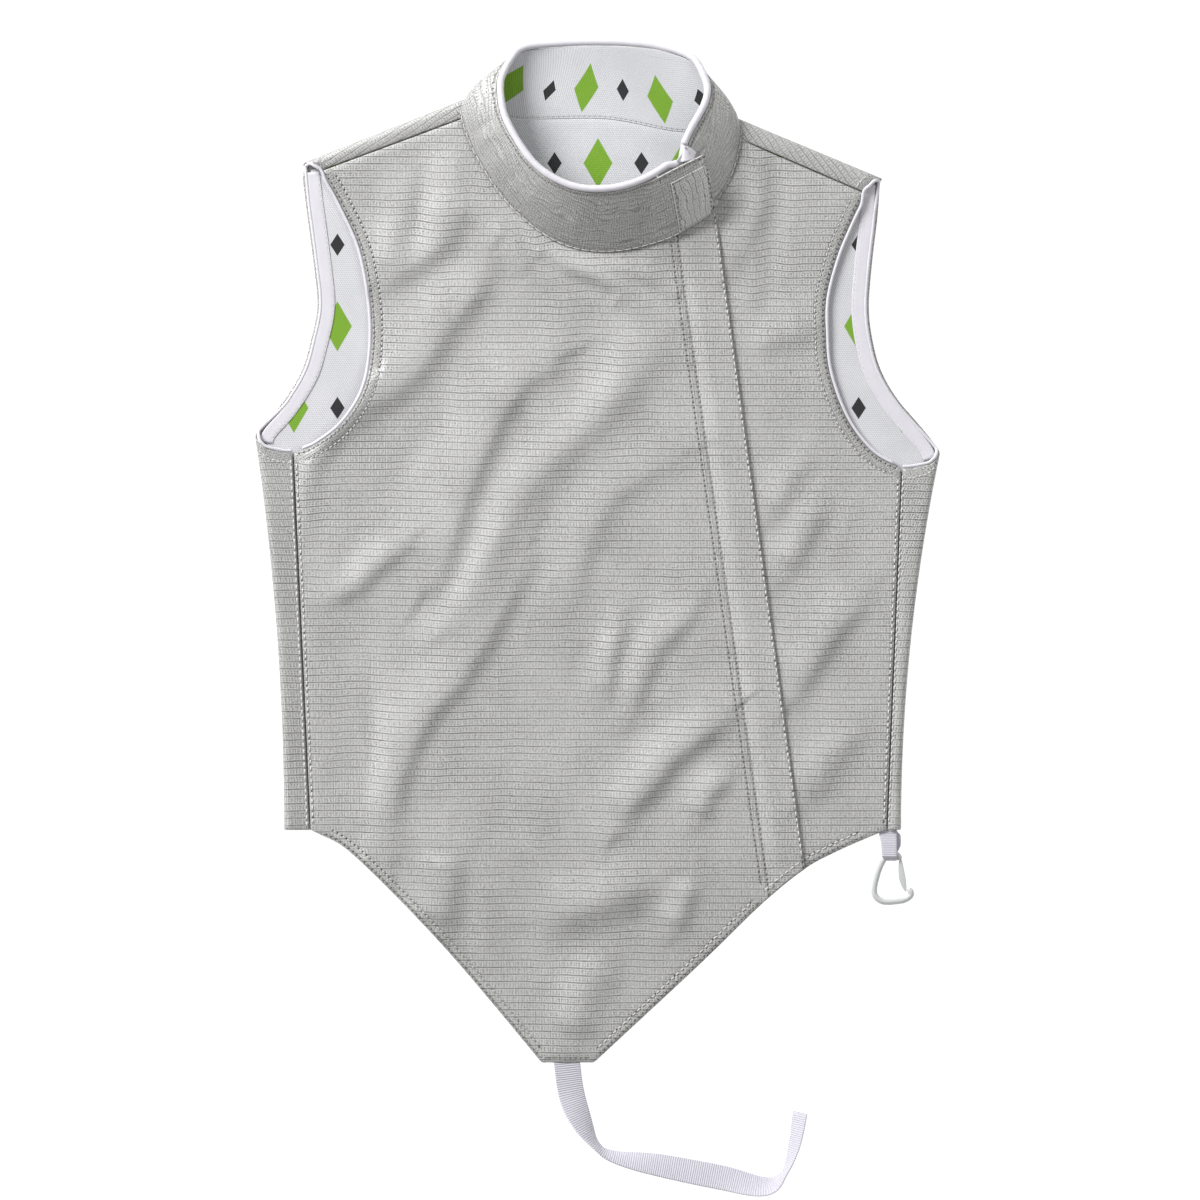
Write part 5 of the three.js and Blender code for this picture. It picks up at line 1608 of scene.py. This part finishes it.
def placeHook(piece, name):  # from flat about the loop's axis to where it hangs
    piece.name = name
    piece.rotation_euler = (hook["drop"], 0, 0)
    piece.location = hook["axis"] * mm
    applyPlace(piece)
    return piece


def hookFrame():
    selectOnly()
    bpy.ops.curve.primitive_nurbs_path_add(radius=0.01)
    curve = bpy.context.object.data
    route = np.column_stack([hookRoute, np.zeros(len(hookRoute))])
    line = evenly(catmull(route, np.linspace(0, len(route) - 1, 400)), 1.5)
    curve.splines.clear()
    spline = curve.splines.new("POLY")
    spline.points.add(len(line) - 1)
    for point, place in zip(spline.points, line):
        point.co = (*(place * mm), 1)
    spline.points[0].radius = spline.points[-1].radius = hook["taper"]
    curve.dimensions = "3D"
    curve.bevel_depth = hook["bar"] * hook["swell"] * mm
    curve.bevel_resolution = 6
    curve.use_fill_caps = True
    bpy.ops.object.convert(target="MESH")
    return placeHook(bpy.context.object, "hookFrame")


def hookGate():
    outline = catmull(gateOutline, np.linspace(0, len(gateOutline), 41)[:-1], closed=True)
    selectOnly()
    bpy.ops.mesh.primitive_circle_add(vertices=len(outline), radius=0.005, fill_type="NGON")
    piece = bpy.context.object
    for vertex, (x, y) in zip(piece.data.vertices, outline[::-1]):
        vertex.co = (x * mm, y * mm, -gate["thick"] / 2 * mm)
    bpy.ops.object.mode_set(mode="EDIT")
    bpy.ops.mesh.select_all(action="SELECT")
    bpy.ops.mesh.extrude_region_move(TRANSFORM_OT_translate={"value": (0, 0, gate["thick"] * mm)})
    bpy.ops.mesh.select_all(action="SELECT")
    bpy.ops.mesh.normals_make_consistent(inside=False)
    bpy.ops.mesh.select_all(action="DESELECT")
    bpy.ops.object.mode_set(mode="OBJECT")
    softenEdges(piece, gate["soft"], 4, 50)
    return placeHook(piece, "hookGate")


for piece, node, body in ((hookFrame(), "hook_frame", "hook"), (hookGate(), "hook_gate", "gate")):
    piece.data.materials.clear()
    piece.data.materials.append(finishes["plastic"])
    selectOnly(piece)
    bpy.ops.object.shade_smooth_by_angle(angle=math.radians(40))
    finishPiece(piece, "plastic", node, body=body)
print("hook made")

# Floor, lights and camera
studio = {
    "floor": {"size": 8.0, "location": (0, 0, -0.0003)},
    "over": np.array([1.5, 9.1, 9000.0]),
    "view": 912.0,
    "sensor": 36,
    "world": 0.31,
    "key": {"place": (-3.2, 3.0, 2.6), "size": 2.6, "power": 330.0},
    "fill": {"place": (3.4, 0.8, 4.2), "size": 3.6, "power": 52.0},
}
selectOnly()
bpy.ops.mesh.primitive_plane_add(**studio["floor"])
floor = bpy.context.object
floor.name = "floor"
floor.data.materials.append(makeMaterial("palePaper", studioPaper))
applyPlace(floor)
for name in ("key", "fill"):
    values = studio[name]
    bpy.ops.object.light_add(type="AREA", location=values["place"])
    light = bpy.context.object
    light.name = name + "Light"
    light.data.shape = "DISK"
    light.data.size = values["size"]
    light.data.energy = values["power"]
    light.rotation_euler = (-Vector(values["place"])).to_track_quat("-Z", "Y").to_euler()
world = bpy.data.worlds.new("studioWorld")
bpy.context.scene.world = world
world.use_nodes = True
world.node_tree.nodes["Background"].inputs["Color"].default_value = (1, 1, 1, 1)
world.node_tree.nodes["Background"].inputs["Strength"].default_value = studio["world"]
bpy.ops.object.camera_add(location=studio["over"] * mm, rotation=(0, 0, 0))
camera = bpy.context.object
camera.name = "overhead"
camera.data.sensor_width = studio["sensor"]
camera.data.lens = studio["sensor"] * studio["over"][2] / studio["view"]
bpy.context.scene.camera = camera
bpy.context.scene.view_settings.view_transform = "Standard"
print("studio made")
